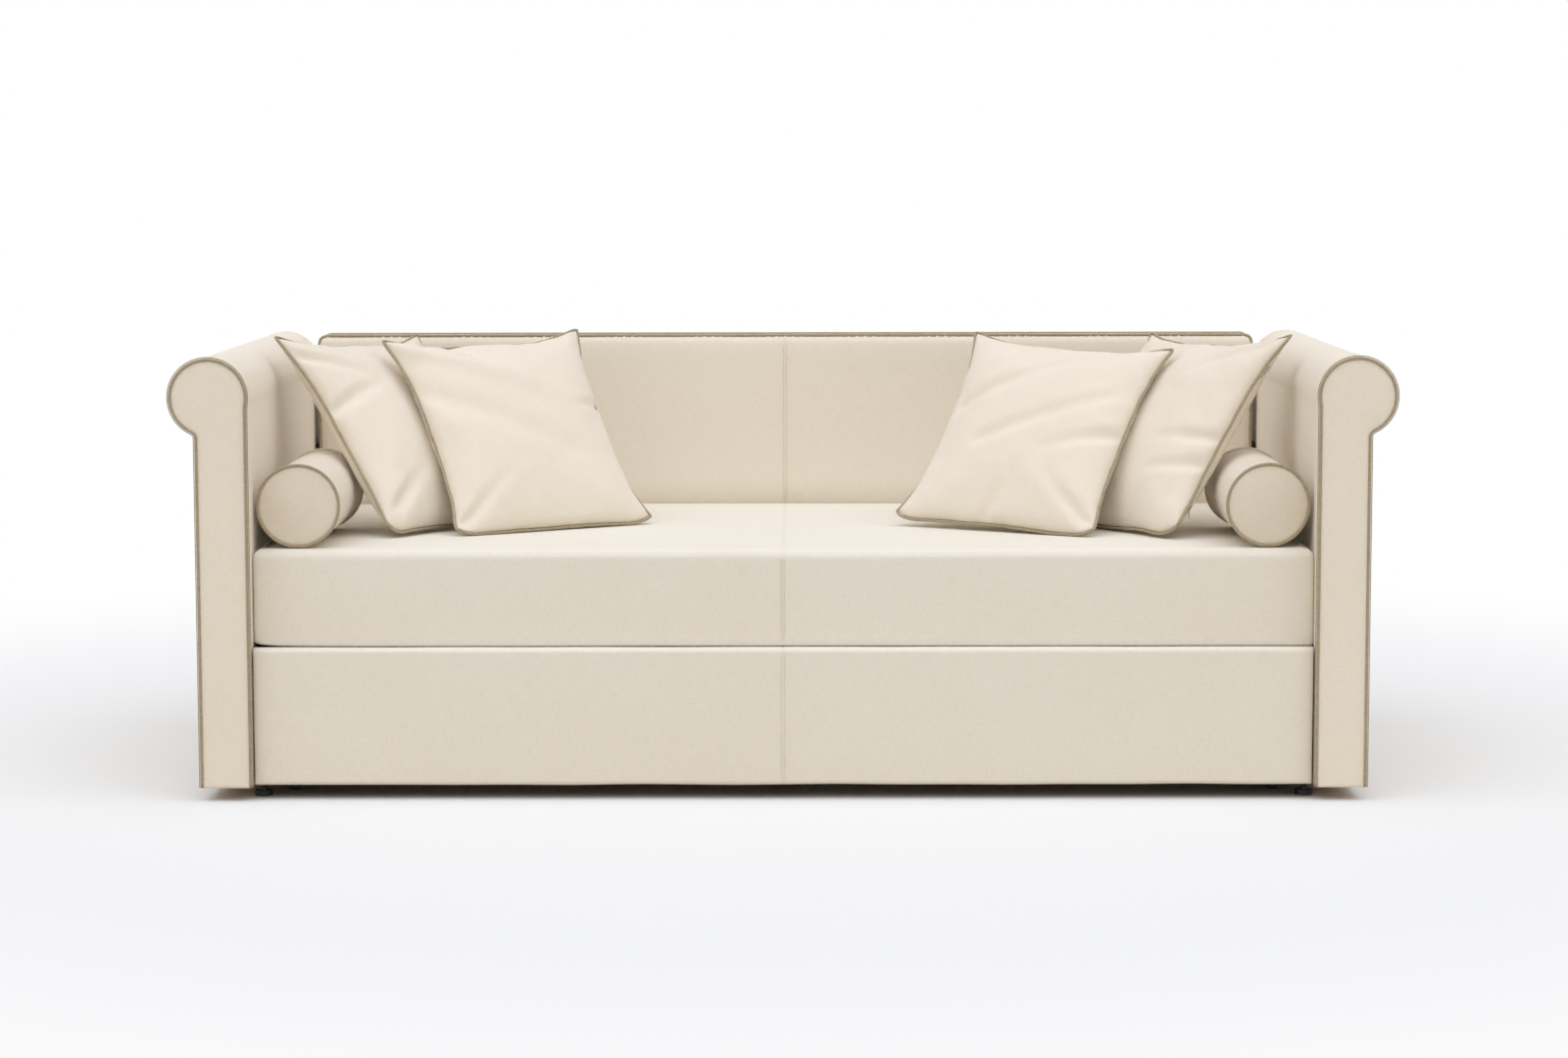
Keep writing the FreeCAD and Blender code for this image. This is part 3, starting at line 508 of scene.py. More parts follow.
def turn_in_hem(shape: BMesh, direction: Sequence[float], width: float, recess: float,
                stand: float) -> None:
    """Turns cloth round an open side: a hem lies on the timber, and inside it the form steps back.

    Args:
        shape: The closed form.
        direction: Which side is open.
        width: How far the hem reaches in from the edge.
        recess: How deep the step is.
        stand: How far the hem stands off the timber.
    """
    out = Vector(direction)
    faces = facing(shape, direction)
    corners = list(dict.fromkeys(vert for face in faces for vert in face.verts))
    bmesh.ops.translate(shape, verts=corners, vec=out * stand)
    bmesh.ops.inset_region(shape, faces=faces, thickness=width, use_even_offset=True)
    made = bmesh.ops.extrude_face_region(shape, geom=faces)
    bmesh.ops.delete(shape, geom=faces, context="FACES")
    bmesh.ops.translate(shape, verts=of_kind(made["geom"], BMVert), vec=-out * (recess + stand))


def map_weave(shape: BMesh, ruler: Optional[Callable[[Vector], float]] = None) -> None:
    """Lays the weave on a form by the way that each face looks.

    Args:
        shape: The form.
        ruler: Distance along the outline of a form that runs along Y, for faces that don't look along Y.
    """
    layer = shape.loops.layers.uv.get(WEAVE) or shape.loops.layers.uv.new(WEAVE)
    for face in shape.faces:
        normal = face.normal
        along = max(range(3), key=lambda axis: abs(normal[axis]))
        for loop in face.loops:
            place = loop.vert.co
            if ruler and along != 1:
                loop[layer].uv = (place.y, ruler(place))
            elif along == 0:
                loop[layer].uv = (place.y, place.z)
            elif along == 1:
                loop[layer].uv = (place.x, place.z)
            else:
                loop[layer].uv = (place.x, place.y)


def outline_ruler(path: Sequence[Vector]) -> Callable[[Vector], float]:
    """A measure of how far along an outline in the XZ plane the nearest point to a place lies.

    Args:
        path: The outline's points in order.

    Returns:
        A function of a place that gives the distance from the outline's start.
    """
    tree = search_tree((point.x, 0.0, point.z) for point in path)
    runs = [0.0]
    for before, point in zip(path, path[1:]):
        runs.append(runs[-1] + (point - before).length)

    def measure(place: Vector) -> float:
        """Distance along the outline, with the part of a step that lies past the nearest point.

        Args:
            place: The place.

        Returns:
            The distance, in metres.
        """
        _, index, _ = tree.find((place.x, 0.0, place.z))
        ahead = path[min(index + 1, len(path) - 1)] - path[max(index - 1, 0)]
        offset = Vector((place.x - path[index].x, 0.0, place.z - path[index].z))
        return runs[index] + offset.dot(ahead.normalized())

    return measure


def finish_mesh(shape: BMesh, name: str) -> bpy.types.Object:
    """Turns a bmesh into a smooth object at the origin.

    Args:
        shape: The form, freed here.
        name: The piece's name.

    Returns:
        The object, linked to the scene.
    """
    for item in shape.faces:
        item.smooth = True
    mesh = bpy.data.meshes.new(name)
    shape.to_mesh(mesh)
    shape.free()
    piece = bpy.data.objects.new(name, mesh)
    bpy.context.scene.collection.objects.link(piece)
    return piece


def deliver(piece: bpy.types.Object, finish: Finish, body: str, nodes: Sequence[str] = ()) -> bpy.types.Object:
    """Gives a finished piece its material and body, hides the frame's nodes that it stands for and logs it.

    Args:
        piece: The mesh object.
        finish: Its finish.
        body: The body that it rides on.
        nodes: The frame's nodes that it stands for.

    Returns:
        The same piece.
    """
    piece.data.materials.clear()
    piece.data.materials.append(finish.material())
    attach(piece, body)
    if nodes:
        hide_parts(*nodes)
    log.info("%s: %d faces on %s", piece.name, len(piece.data.polygons), body)
    return piece


class Outline:
    """A run of edges in an XZ plane, drawn by moving a point along straight stretches and arcs."""

    def __init__(self, shape: BMesh, start: Vector, step: float) -> None:
        """Starts the run.

        Args:
            shape: The bmesh that it is drawn in.
            start: Its first point.
            step: The longest edge.
        """
        self.shape = shape
        self.step = step
        self.first = shape.verts.new(start)
        self.tip = self.first

    def line_to(self, x: float, z: float) -> None:
        """A straight stretch to a place at the same depth.

        Args:
            x: The place along X.
            z: Its height.
        """
        start = self.tip.co.copy()
        end = Vector((x, start.y, z))
        steps = max(1, math.ceil((end - start).length / self.step))
        for index in range(1, steps + 1):
            self.tip = bmesh.ops.extrude_vert_indiv(self.shape, verts=[self.tip])["verts"][0]
            self.tip.co = start.lerp(end, index / steps)

    def arc_to(self, end: tuple[float, float], centre: tuple[float, float], rising: bool) -> None:
        """A round stretch.

        Args:
            end: Where it ends, as X and Z.
            centre: The arc's centre, as X and Z.
            rising: Whether the angle from X towards Z grows along it.
        """
        place = self.tip.co
        first = math.atan2(place.z - centre[1], place.x - centre[0])
        last = math.atan2(end[1] - centre[1], end[0] - centre[0])
        angle = (last - first) % math.tau if rising else -((first - last) % math.tau)
        radius = math.hypot(place.x - centre[0], place.z - centre[1])
        steps = max(2, math.ceil(abs(angle) * radius / self.step))
        made = bmesh.ops.spin(self.shape, geom=[self.tip], cent=(centre[0], place.y, centre[1]),
                              axis=(0.0, -1.0, 0.0), angle=angle, steps=steps, use_duplicate=False)
        self.tip = of_kind(made["geom_last"], BMVert)[0]

    def points(self) -> list[Vector]:
        """The run's points.

        Returns:
            Their places, from the first to the last.
        """
        found = [self.first]
        edge: Optional[BMEdge] = None
        while found[-1] is not self.tip:
            edge = [other for other in found[-1].link_edges if other is not edge][0]
            found.append(edge.other_vert(found[-1]))
        return [vert.co.copy() for vert in found]

    def prism(self, depth: float) -> tuple[BMFace, BMFace]:
        """Closes the run with a straight edge and draws it out along Y.

        Args:
            depth: How far.

        Returns:
            The face at the start and the face at the end.
        """
        self.shape.edges.new((self.tip, self.first))
        front = bmesh.ops.edgeloop_fill(self.shape, edges=list(self.shape.edges))["faces"][0]
        made = bmesh.ops.extrude_face_region(self.shape, geom=[front], use_keep_orig=True)
        rear = of_kind(made["geom"], BMFace)[0]
        bmesh.ops.translate(self.shape, verts=of_kind(made["geom"], BMVert), vec=(0.0, depth, 0.0))
        bmesh.ops.recalc_face_normals(self.shape, faces=list(self.shape.faces))
        return front, rear


@dataclass(frozen=True)
class Padding:
    """How a cover lies over its padding: held down at its seams and full between them."""

    swell: float = 2.2 * MM
    reach: float = 14 * MM
    sink: float = 0.0
    groove: float = 1.6 * MM
    waver: float = 1.0 * MM
    waver_size: float = 0.21
    pucker: float = 0.45 * MM
    pucker_size: float = 0.020
    pucker_reach: float = 16 * MM
    shade_reach: float = 2.5 * MM

    def apply(self, shape: BMesh, seams: Iterable[Vector], pressed: Sequence[Vector] = ()) -> None:
        """Moves the form's points along their normals and marks the shade beside the seams.

        Args:
            shape: The finely cut form.
            seams: Points along every sewn line.
            pressed: Directions in which the cover lies against something and can't bulge.
        """
        tree = search_tree(seams)
        shade = shape.verts.layers.float.new(SEAM_SHADE)
        shape.normal_update()
        moves = []
        for vert in shape.verts:
            place, normal = vert.co, vert.normal
            away = tree.find(place)[2]
            rise = self.swell * (1 - math.exp(-away / self.reach))
            rise -= self.sink * math.exp(-(away / self.groove) ** 2)
            slack = 1 - math.exp(-away / (3 * self.reach))
            rise += self.waver * noise.noise(place / self.waver_size) * slack
            held = math.exp(-away / self.pucker_reach) * (1 - math.exp(-away / (1.5 * MM)))
            rise += self.pucker * noise.noise(place / self.pucker_size) * held
            if any(normal.dot(direction) > 0.6 for direction in pressed):
                rise = min(rise, 0.0)
            vert[shade] = math.exp(-away / self.shade_reach)
            moves.append((vert, normal * rise))
        for vert, move in moves:
            vert.co += move


@dataclass(frozen=True)
class Strand:
    """One round or flattened strand of a piping, by its place beside the path."""

    across: float
    out: float
    half_width: float
    half_height: float
    sides: int = 12


BEAD = Strand(0.0, 0.0, 2.9 * MM, 2.9 * MM, 14)
FLANGE = Strand(4.5 * MM, 0.2 * MM, 0.9 * MM, 0.7 * MM, 8)
CUSHION_BEAD = Strand(0.0, 0.0, 2.8 * MM, 2.8 * MM, 12)


def sweep(shape: BMesh, path: Sequence[Vector], normal: Vector, strand: Strand, closed: bool) -> None:
    """Draws a strand along a path, with the weave's map along and round it.

    Args:
        shape: The bmesh that it is added to.
        path: Points along the middle of the piping.
        normal: The direction that the strand's out is measured in, square to the path on average.
        strand: The strand's section.
        closed: Whether the path's end joins its start.
    """
    count = len(path)
    frames = []
    for index, point in enumerate(path):
        before = path[index - 1] if closed or index else path[0]
        after = path[(index + 1) % count] if closed or index < count - 1 else path[-1]
        run = (after - before).normalized()
        across = normal.cross(run).normalized()
        out = run.cross(across)
        place = point + across * strand.across + out * strand.out
        frames.append(Matrix((across, out, run)).transposed().to_4x4())
        frames[-1].translation = place
    layer = shape.loops.layers.uv.get(WEAVE) or shape.loops.layers.uv.new(WEAVE)
    girth = math.tau * (strand.half_width + strand.half_height) / 2
    shaped = Matrix.Diagonal((strand.half_width, strand.half_height, 1.0, 1.0))
    ring = bmesh.ops.create_circle(shape, segments=strand.sides, radius=1.0)["verts"]
    bmesh.ops.transform(shape, matrix=frames[0] @ shaped, verts=ring)
    first = list(ring)
    where = {vert: (0.0, girth * index / strand.sides) for index, vert in enumerate(ring)}
    edges = edges_of(ring)
    run_length = 0.0
    made_faces = []
    for index in range(1, count):
        ring, edges, faces = next_ring(shape, edges)
        made_faces.extend(faces)
        run_length += (path[index] - path[index - 1]).length
        for vert in ring:
            source = [edge.other_vert(vert) for edge in vert.link_edges if edge.other_vert(vert) in where][0]
            where[vert] = (run_length, where[source][1])
        bmesh.ops.transform(shape, matrix=frames[index] @ frames[index - 1].inverted(), verts=ring)
    if closed:
        start = [edge for edge in edges_of(first) if all(vert in first for vert in edge.verts)]
        made_faces.extend(bmesh.ops.bridge_loops(shape, edges=start + edges)["faces"])
    else:
        for end in (first, ring):
            loop = [edge for edge in edges_of(end) if all(vert in end for vert in edge.verts)]
            made_faces.extend(bmesh.ops.edgeloop_fill(shape, edges=loop)["faces"])
    for face in made_faces:
        spans = [where[vert] for vert in face.verts]
        round_seam = max(span[1] for span in spans) - min(span[1] for span in spans) > girth / 2
        for loop in face.loops:
            run_at, round_at = where[loop.vert]
            if round_seam and round_at < girth / 2:
                round_at += girth
            loop[layer].uv = (run_at, round_at)


def piping(name: str, runs: Sequence[tuple[Sequence[Vector], Vector, bool]], strands: Sequence[Strand],
           body: str, nodes: Sequence[str], finish: Finish = PIPING_CLOTH) -> bpy.types.Object:
    """Piping along one or more seams as one piece.

    Args:
        name: The piece's name.
        runs: Each seam's path, its outward direction and whether it is closed.
        strands: The strands of the piping.
        body: The body that it rides on.
        nodes: The nodes that it stands for.
        finish: The piping's cloth.

    Returns:
        The piece.
    """
    shape = bmesh.new()
    for path, normal, closed in runs:
        for strand in strands:
            sweep(shape, path, normal, strand, closed)
    bmesh.ops.recalc_face_normals(shape, faces=list(shape.faces))
    return deliver(finish_mesh(shape, name), finish, body, nodes)


# Arms

@dataclass
class ScrollArm:
    """One upholstered arm: an upright panel that ends in an outward scroll, piped round both its ends."""

    side: Side
    thickness: float = 90 * MM
    scroll_radius: float = 70 * MM
    inner_neck: float = 60 * MM
    outer_neck: float = 14 * MM
    outline_step: float = 7 * MM
    cell: float = 9 * MM
    length_cell: float = 17 * MM
    seam_rings: tuple[float, ...] = (2 * MM, 4 * MM)
    seam_cuts: tuple[float, ...] = (2 * MM, 6 * MM, 12 * MM)
    hem: float = 18 * MM
    hem_stand: float = 1 * MM
    hem_recess: float = 20 * MM
    piping_stand: float = 1 * MM
    padding: Padding = Padding()

    def draw(self, shape: BMesh, grow: float, depth: float) -> Outline:
        """The right arm's outline.

        Args:
            shape: The bmesh to draw in.
            grow: How far outside the cover the outline lies.
            depth: Its place along Y.

        Returns:
            The outline, from the foot of the inner side over the scroll to the foot of the outer side.
        """
        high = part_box("right_arm_cover")[1]
        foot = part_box("right_arm_cover")[0].z
        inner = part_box("base_front_rail")[1].x - grow
        outer = inner + self.thickness + 2 * grow
        centre = (high.x - self.scroll_radius, high.z - self.scroll_radius)
        radius = self.scroll_radius + grow

        def neck(wall: float, outward: int, size: float) -> tuple[tuple[float, float], tuple[float, float]]:
            """Finds a neck, the arc that leads from a wall of the panel into the scroll.

            Args:
                wall: The wall's place along X.
                outward: Which way the arc's centre lies from the wall.
                size: The arc's radius.

            Returns:
                The arc's centre and where it meets the scroll, each as X and Z.
            """
            reach = radius + size
            across = wall + outward * size - centre[0]
            middle = (centre[0] + across, centre[1] - math.sqrt(reach * reach - across * across))
            share = radius / reach
            return middle, (centre[0] + across * share, centre[1] + (middle[1] - centre[1]) * share)

        inner_middle, inner_touch = neck(inner, -1, self.inner_neck - grow)
        outer_middle, outer_touch = neck(outer, 1, self.outer_neck - grow)
        outline = Outline(shape, Vector((inner, depth, foot)), self.outline_step)
        outline.line_to(inner, inner_middle[1])
        outline.arc_to(inner_touch, inner_middle, rising=True)
        outline.arc_to(outer_touch, centre, rising=False)
        outline.arc_to((outer, outer_middle[1]), outer_middle, rising=True)
        outline.line_to(outer, foot)
        return outline

    def on_side(self, points: Sequence[Vector]) -> list[Vector]:
        """The right arm's points on this arm's side."""
        return [Vector((point.x * self.side.value, point.y, point.z)) for point in points]

    def build(self) -> None:
        """Makes the cover and its piping."""
        low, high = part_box("right_arm_cover")
        shape = bmesh.new()
        outline = self.draw(shape, 0.0, low.y)
        path = outline.points()
        front, rear = outline.prism(high.y - low.y)
        for face in (front, rear):
            for ring in self.seam_rings:
                bmesh.ops.inset_region(shape, faces=[face], thickness=ring, use_even_offset=True)
        turn_in_hem(shape, (0, 0, -1), self.hem, self.hem_recess, self.hem_stand)
        for cut in self.seam_cuts:
            cut_across(shape, 1, low.y + cut)
            cut_across(shape, 1, high.y - cut)
        cut_grid(shape, (self.cell, self.length_cell, self.cell))
        if self.side is Side.LEFT:
            bmesh.ops.scale(shape, vec=(-1.0, 1.0, 1.0), verts=list(shape.verts))
            path = self.on_side(path)
        bmesh.ops.recalc_face_normals(shape, faces=list(shape.faces))
        map_weave(shape, outline_ruler(path))
        seams = [Vector((point.x, depth, point.z)) for point in path for depth in (low.y, high.y)]
        self.padding.apply(shape, seams, [Vector((0, 0, -1))])
        word = self.side.word
        deliver(finish_mesh(shape, f"{word}_arm_upholstery"), UPHOLSTERY, "sofa",
                [f"{word}_arm_cover", f"{word}_arm_padding"])
        self.build_piping(low.y, high.y)

    def build_piping(self, front: float, rear: float) -> None:
        """Taupe piping round the front end, and piping of the arm's own cloth round the rear end.

        Args:
            front: The front seam's place along Y.
            rear: The rear seam's place along Y.
        """
        word = self.side.word
        ends = ((f"{word}_arm_welt", front - self.piping_stand, -1, (BEAD, FLANGE), PIPING_CLOTH),
                (f"{word}_arm_rear_welt", rear + self.piping_stand, 1, (BEAD,), UPHOLSTERY))
        for name, depth, out, strands, finish in ends:
            scratch = bmesh.new()
            path = self.on_side(self.draw(scratch, self.piping_stand, depth).points())
            scratch.free()
            if self.side.value * out > 0:
                path.reverse()
            piping(name, [(path, Vector((0, out, 0)), False)], strands, "sofa",
                   [f"{word}_arm_piping"], finish)


# Back panel

@dataclass
class BackPanel:
    """The padded panel between the arms, piped round its front and rear edges, with a seam up its middle."""

    corner_radius: float = 14 * MM
    outline_step: float = 9 * MM
    cell: float = 17 * MM
    seam_rings: tuple[float, ...] = (2 * MM, 4 * MM, 5 * MM)
    seam_cuts: tuple[float, ...] = (2 * MM, 6 * MM)
    middle_cuts: tuple[float, ...] = (0.0, 1.2 * MM, 3 * MM, 7 * MM)
    hem: float = 18 * MM
    hem_stand: float = 1 * MM
    hem_recess: float = 20 * MM
    piping_stand: float = 1 * MM
    crown: float = 4 * MM
    bulge: float = 10 * MM
    bulge_reach: float = 8 * MM
    bulge_rise: float = 30 * MM
    mark_step: float = 4 * MM
    padding: Padding = Padding(swell=1.5 * MM, waver=1.6 * MM, sink=1.2 * MM, waver_size=0.3)

    def draw(self, shape: BMesh, grow: float, depth: float, foot: float) -> Outline:
        """The panel's outline from its lower left corner over its top.

        Args:
            shape: The bmesh to draw in.
            grow: How far outside the cover it lies.
            depth: Its place along Y.
            foot: The height at which it starts and ends.

        Returns:
            The outline.
        """
        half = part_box("back_cover")[1].x + grow
        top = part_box("back_cover")[1].z + self.crown + grow
        radius = self.corner_radius + grow
        outline = Outline(shape, Vector((-half, depth, foot)), self.outline_step)
        outline.line_to(-half, top - radius)
        outline.arc_to((-half + radius, top), (-half + radius, top - radius), rising=False)
        outline.line_to(half - radius, top)
        outline.arc_to((half, top - radius), (half - radius, top - radius), rising=False)
        outline.line_to(half, foot)
        return outline

    def build(self) -> bpy.types.Object:
        """Makes the cover and its piping.

        Returns:
            The cover.
        """
        low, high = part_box("back_cover")
        seat_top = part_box("upper_mattress_cover")[1].z
        shape = bmesh.new()
        outline = self.draw(shape, 0.0, low.y, low.z)
        path = outline.points()
        front, rear = outline.prism(high.y - low.y)
        for face in (front, rear):
            for ring in self.seam_rings:
                bmesh.ops.inset_region(shape, faces=[face], thickness=ring, use_even_offset=True)
        turn_in_hem(shape, (0, 0, -1), self.hem, self.hem_recess, self.hem_stand)
        for cut in self.seam_cuts:
            cut_across(shape, 1, low.y + cut)
            cut_across(shape, 1, high.y - cut)
        for cut in self.middle_cuts:
            for place in {-cut, cut}:
                cut_across(shape, 0, place)
        cut_grid(shape, (self.cell, self.cell, self.cell))
        map_weave(shape)
        self.push_forward(shape, path, low.y, seat_top)
        seams = [Vector((point.x, depth, point.z)) for point in path for depth in (low.y, high.y)]
        steps = round((high.z - low.z) / self.mark_step)
        for index in range(steps):
            z = low.z + (high.z - low.z) * index / steps
            bulged = low.y - self.bulge * self.share(z, seat_top)
            seams.extend(Vector((0.0, depth, z)) for depth in (bulged, high.y))
        self.padding.apply(shape, seams, [Vector((0, 0, -1))])
        cover = deliver(finish_mesh(shape, "back_upholstery"), UPHOLSTERY, "sofa",
                        ["back_cover", "back_padding"])
        self.build_piping(low, high, seat_top)
        return cover

    def share(self, z: float, seat_top: float) -> float:
        """How much of its bulge the front keeps at a height: none below the seat, all a little above it."""
        return min(1.0, max(0.0, (z - seat_top) / self.bulge_rise))

    def push_forward(self, shape: BMesh, path: Sequence[Vector], front: float,
                     seat_top: float) -> None:
        """Rounds the front's padding forward between its edges, above the seat.

        Args:
            shape: The cut form.
            path: The front seam.
            front: The front face's place along Y.
            seat_top: The height of the seat.
        """
        tree = search_tree(path)
        for vert in shape.verts:
            if vert.co.y < front + 0.5 * MM:
                away = tree.find(vert.co)[2]
                free = 1 - math.exp(-away / self.bulge_reach)
                vert.co.y -= self.bulge * free * self.share(vert.co.z, seat_top)

    def build_piping(self, low: Vector, high: Vector, seat_top: float) -> None:
        """Piping round the front edge down to the seat and round the rear edge down to the foot.

        Args:
            low: The cover's lowest corner.
            high: The cover's highest corner.
            seat_top: The height of the seat.
        """
        runs = []
        for depth, foot, out in ((low.y - self.piping_stand, seat_top + 0.4 * MM, -1),
                                 (high.y + self.piping_stand, low.z, 1)):
            scratch = bmesh.new()
            path = self.draw(scratch, self.piping_stand, depth, foot).points()
            scratch.free()
            if out > 0:
                path.reverse()
            runs.append((path, Vector((0, out, 0)), False))
        piping("back_welt", runs, (BEAD,), "sofa", ["back_piping"])


# Mattresses and the pull-out front

@dataclass
class BoxedCover:
    """A boxed cover with soft edges and a seam across its middle, filled by its foam."""

    name: str
    nodes: tuple[str, ...]
    body: str
    finish: Finish
    slot: str
    edge_radius: float
    corner_radius: float
    cell: tuple[float, float, float] = (18 * MM, 18 * MM, 12 * MM)
    middle_cuts: tuple[float, ...] = (0.0, 1.2 * MM, 3 * MM, 7 * MM)
    edge_segments: int = 5
    padding: Padding = Padding(swell=0.0, sink=1.4 * MM, waver=1.2 * MM, waver_size=0.26, pucker=0.0)
    hem: float = 0.0
    fill: float = 0.9
    lift: float = 0.0
    crown: float = 0.0
    foot_radius: float = 3.5 * MM
    side_swell: float = 0.0
    swell_reach: float = 40 * MM
    droop: float = 0.0
    droop_depth: float = 20 * MM
    droop_height: float = 12 * MM
    hem_recess: float = 6 * MM
    mark_step: float = 4 * MM
    sag: float = 1.2 * MM

    def build(self) -> bpy.types.Object:
        """Makes the cover.

        Returns:
            The piece.
        """
        low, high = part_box(self.nodes[0])
        shape = bmesh.new()
        place = Matrix.Translation((low + high) / 2) @ Matrix.Diagonal((*(high - low), 1.0))
        bmesh.ops.create_cube(shape, size=1.0, matrix=place)
        self.soften(shape, low, high)
        if self.hem:
            turn_in_hem(shape, (0, 1, 0), self.hem, self.hem_recess, 0.0)
        for cut in self.middle_cuts:
            for place in {-cut, cut}:
                cut_across(shape, 0, place)
        cut_grid(shape, self.cell)
        map_weave(shape)
        self.padding.apply(shape, self.middle_seam(low, high), self.pressed())
        self.sit(shape, low, high)
        piece = finish_mesh(shape, self.name)
        return deliver(piece, self.finish, self.body, self.nodes)

    def soften(self, shape: BMesh, low: Vector, high: Vector) -> None:
        """Rounds the block's upright edges, then its upper and lower ones.

        Args:
            shape: The block.
            low: Lowest corner.
            high: Highest corner.
        """
        upright = [edge for edge in shape.edges
                   if abs(edge.verts[0].co.z - edge.verts[1].co.z) > (high.z - low.z) / 2]
        round_off(shape, upright, self.corner_radius, self.edge_segments)
        for level, radius in ((high.z, self.edge_radius), (low.z, self.foot_radius)):
            rim = [edge for edge in shape.edges
                   if all(abs(vert.co.z - level) < 0.1 * MM for vert in edge.verts)]
            round_off(shape, rim, radius, self.edge_segments)

    def pressed(self) -> list[Vector]:
        """The sides on which the cover lies against something."""
        return [Vector((0, 0, -1)), Vector((0, 1, 0)), Vector((0, 0, 1))]

    def middle_seam(self, low: Vector, high: Vector) -> list[Vector]:
        """Points every few millimetres round the seam at the middle.

        Args:
            low: Lowest corner.
            high: Highest corner.

        Returns:
            The points.
        """
        marks = []
        for index in range(round((high.y - low.y) / self.mark_step) + 1):
            y = low.y + self.mark_step * index
            marks.extend((Vector((0, y, low.z)), Vector((0, y, high.z))))
        for index in range(round((high.z - low.z) / self.mark_step) + 1):
            z = low.z + self.mark_step * index
            marks.extend((Vector((0, low.y, z)), Vector((0, high.y, z))))
        return marks

    def sit(self, shape: BMesh, low: Vector, high: Vector) -> None:
        """Lets the faces crown a little, softens the long edges and lifts the lower left corner.

        Args:
            shape: The cut form.
            low: Lowest corner of the solid.
            high: Highest corner of the solid.
        """
        for vert in shape.verts:
            place = vert.co
            if place.y < low.y + self.edge_radius:
                up = (place.z - low.z) / (high.z - low.z)
                place.y -= self.crown * 4 * up * (1 - up)
                near = math.exp(-(place.x - low.x) / (26 * MM))
                place.z += self.lift * near * (1 - up) ** 3
            foot = self.foot_radius + self.droop_height
            if place.y < low.y + self.droop_depth and place.z < low.z + foot:
                share = min(1.0, (low.y + self.droop_depth - place.y) / (self.droop_depth / 2))
                held = 1 - max(0.0, place.z - low.z) / foot
                place.z -= self.droop * share * min(1.0, held * 1.3)
            outward = 1 - min(1.0, min(place.x - low.x, high.x - place.x) / self.swell_reach)
            place.x += math.copysign(self.side_swell, place.x) * outward
            drop = self.sag * (noise.noise(Vector((place.x / 0.33, place.y / 0.33, 3.0))) + 1)
            if place.z > high.z - self.edge_radius:
                edge = math.exp(-(place.y - low.y) / (60 * MM))
                place.z -= drop * edge


@dataclass
class DrawerFront(BoxedCover):
    """The upholstered front of the pull-out bed: rounded at its face, hemmed round its board behind."""

    swell_reach: float = 30 * MM
    foot_waver: float = 1.3 * MM

    def soften(self, shape: BMesh, low: Vector, high: Vector) -> None:
        """Rounds the edges of the block's front.

        Args:
            shape: The block.
            low: Lowest corner.
            high: Highest corner, not used here.
        """
        rim = [edge for edge in shape.edges if all(vert.co.y < low.y + MM for vert in edge.verts)]
        round_off(shape, rim, self.edge_radius, self.edge_segments)

    def pressed(self) -> list[Vector]:
        """The hemmed side lies against the board."""
        return [Vector((0, 1, 0))]

    def sit(self, shape: BMesh, low: Vector, high: Vector) -> None:
        """Lets the bottom edge waver as cloth does where it turns under.

        Args:
            shape: The cut form.
            low: Lowest corner of the solid.
            high: Highest corner of the solid.
        """
        for vert in shape.verts:
            place = vert.co
            near = math.exp(-(place.z - low.z) / (30 * MM))
            place.z += self.foot_waver * noise.noise(Vector((place.x / 0.17, 5.0, 0.0))) * near
            outward = 1 - min(1.0, min(place.x - low.x, high.x - place.x) / self.swell_reach)
            place.x += math.copysign(self.side_swell, place.x) * outward


# Bolsters

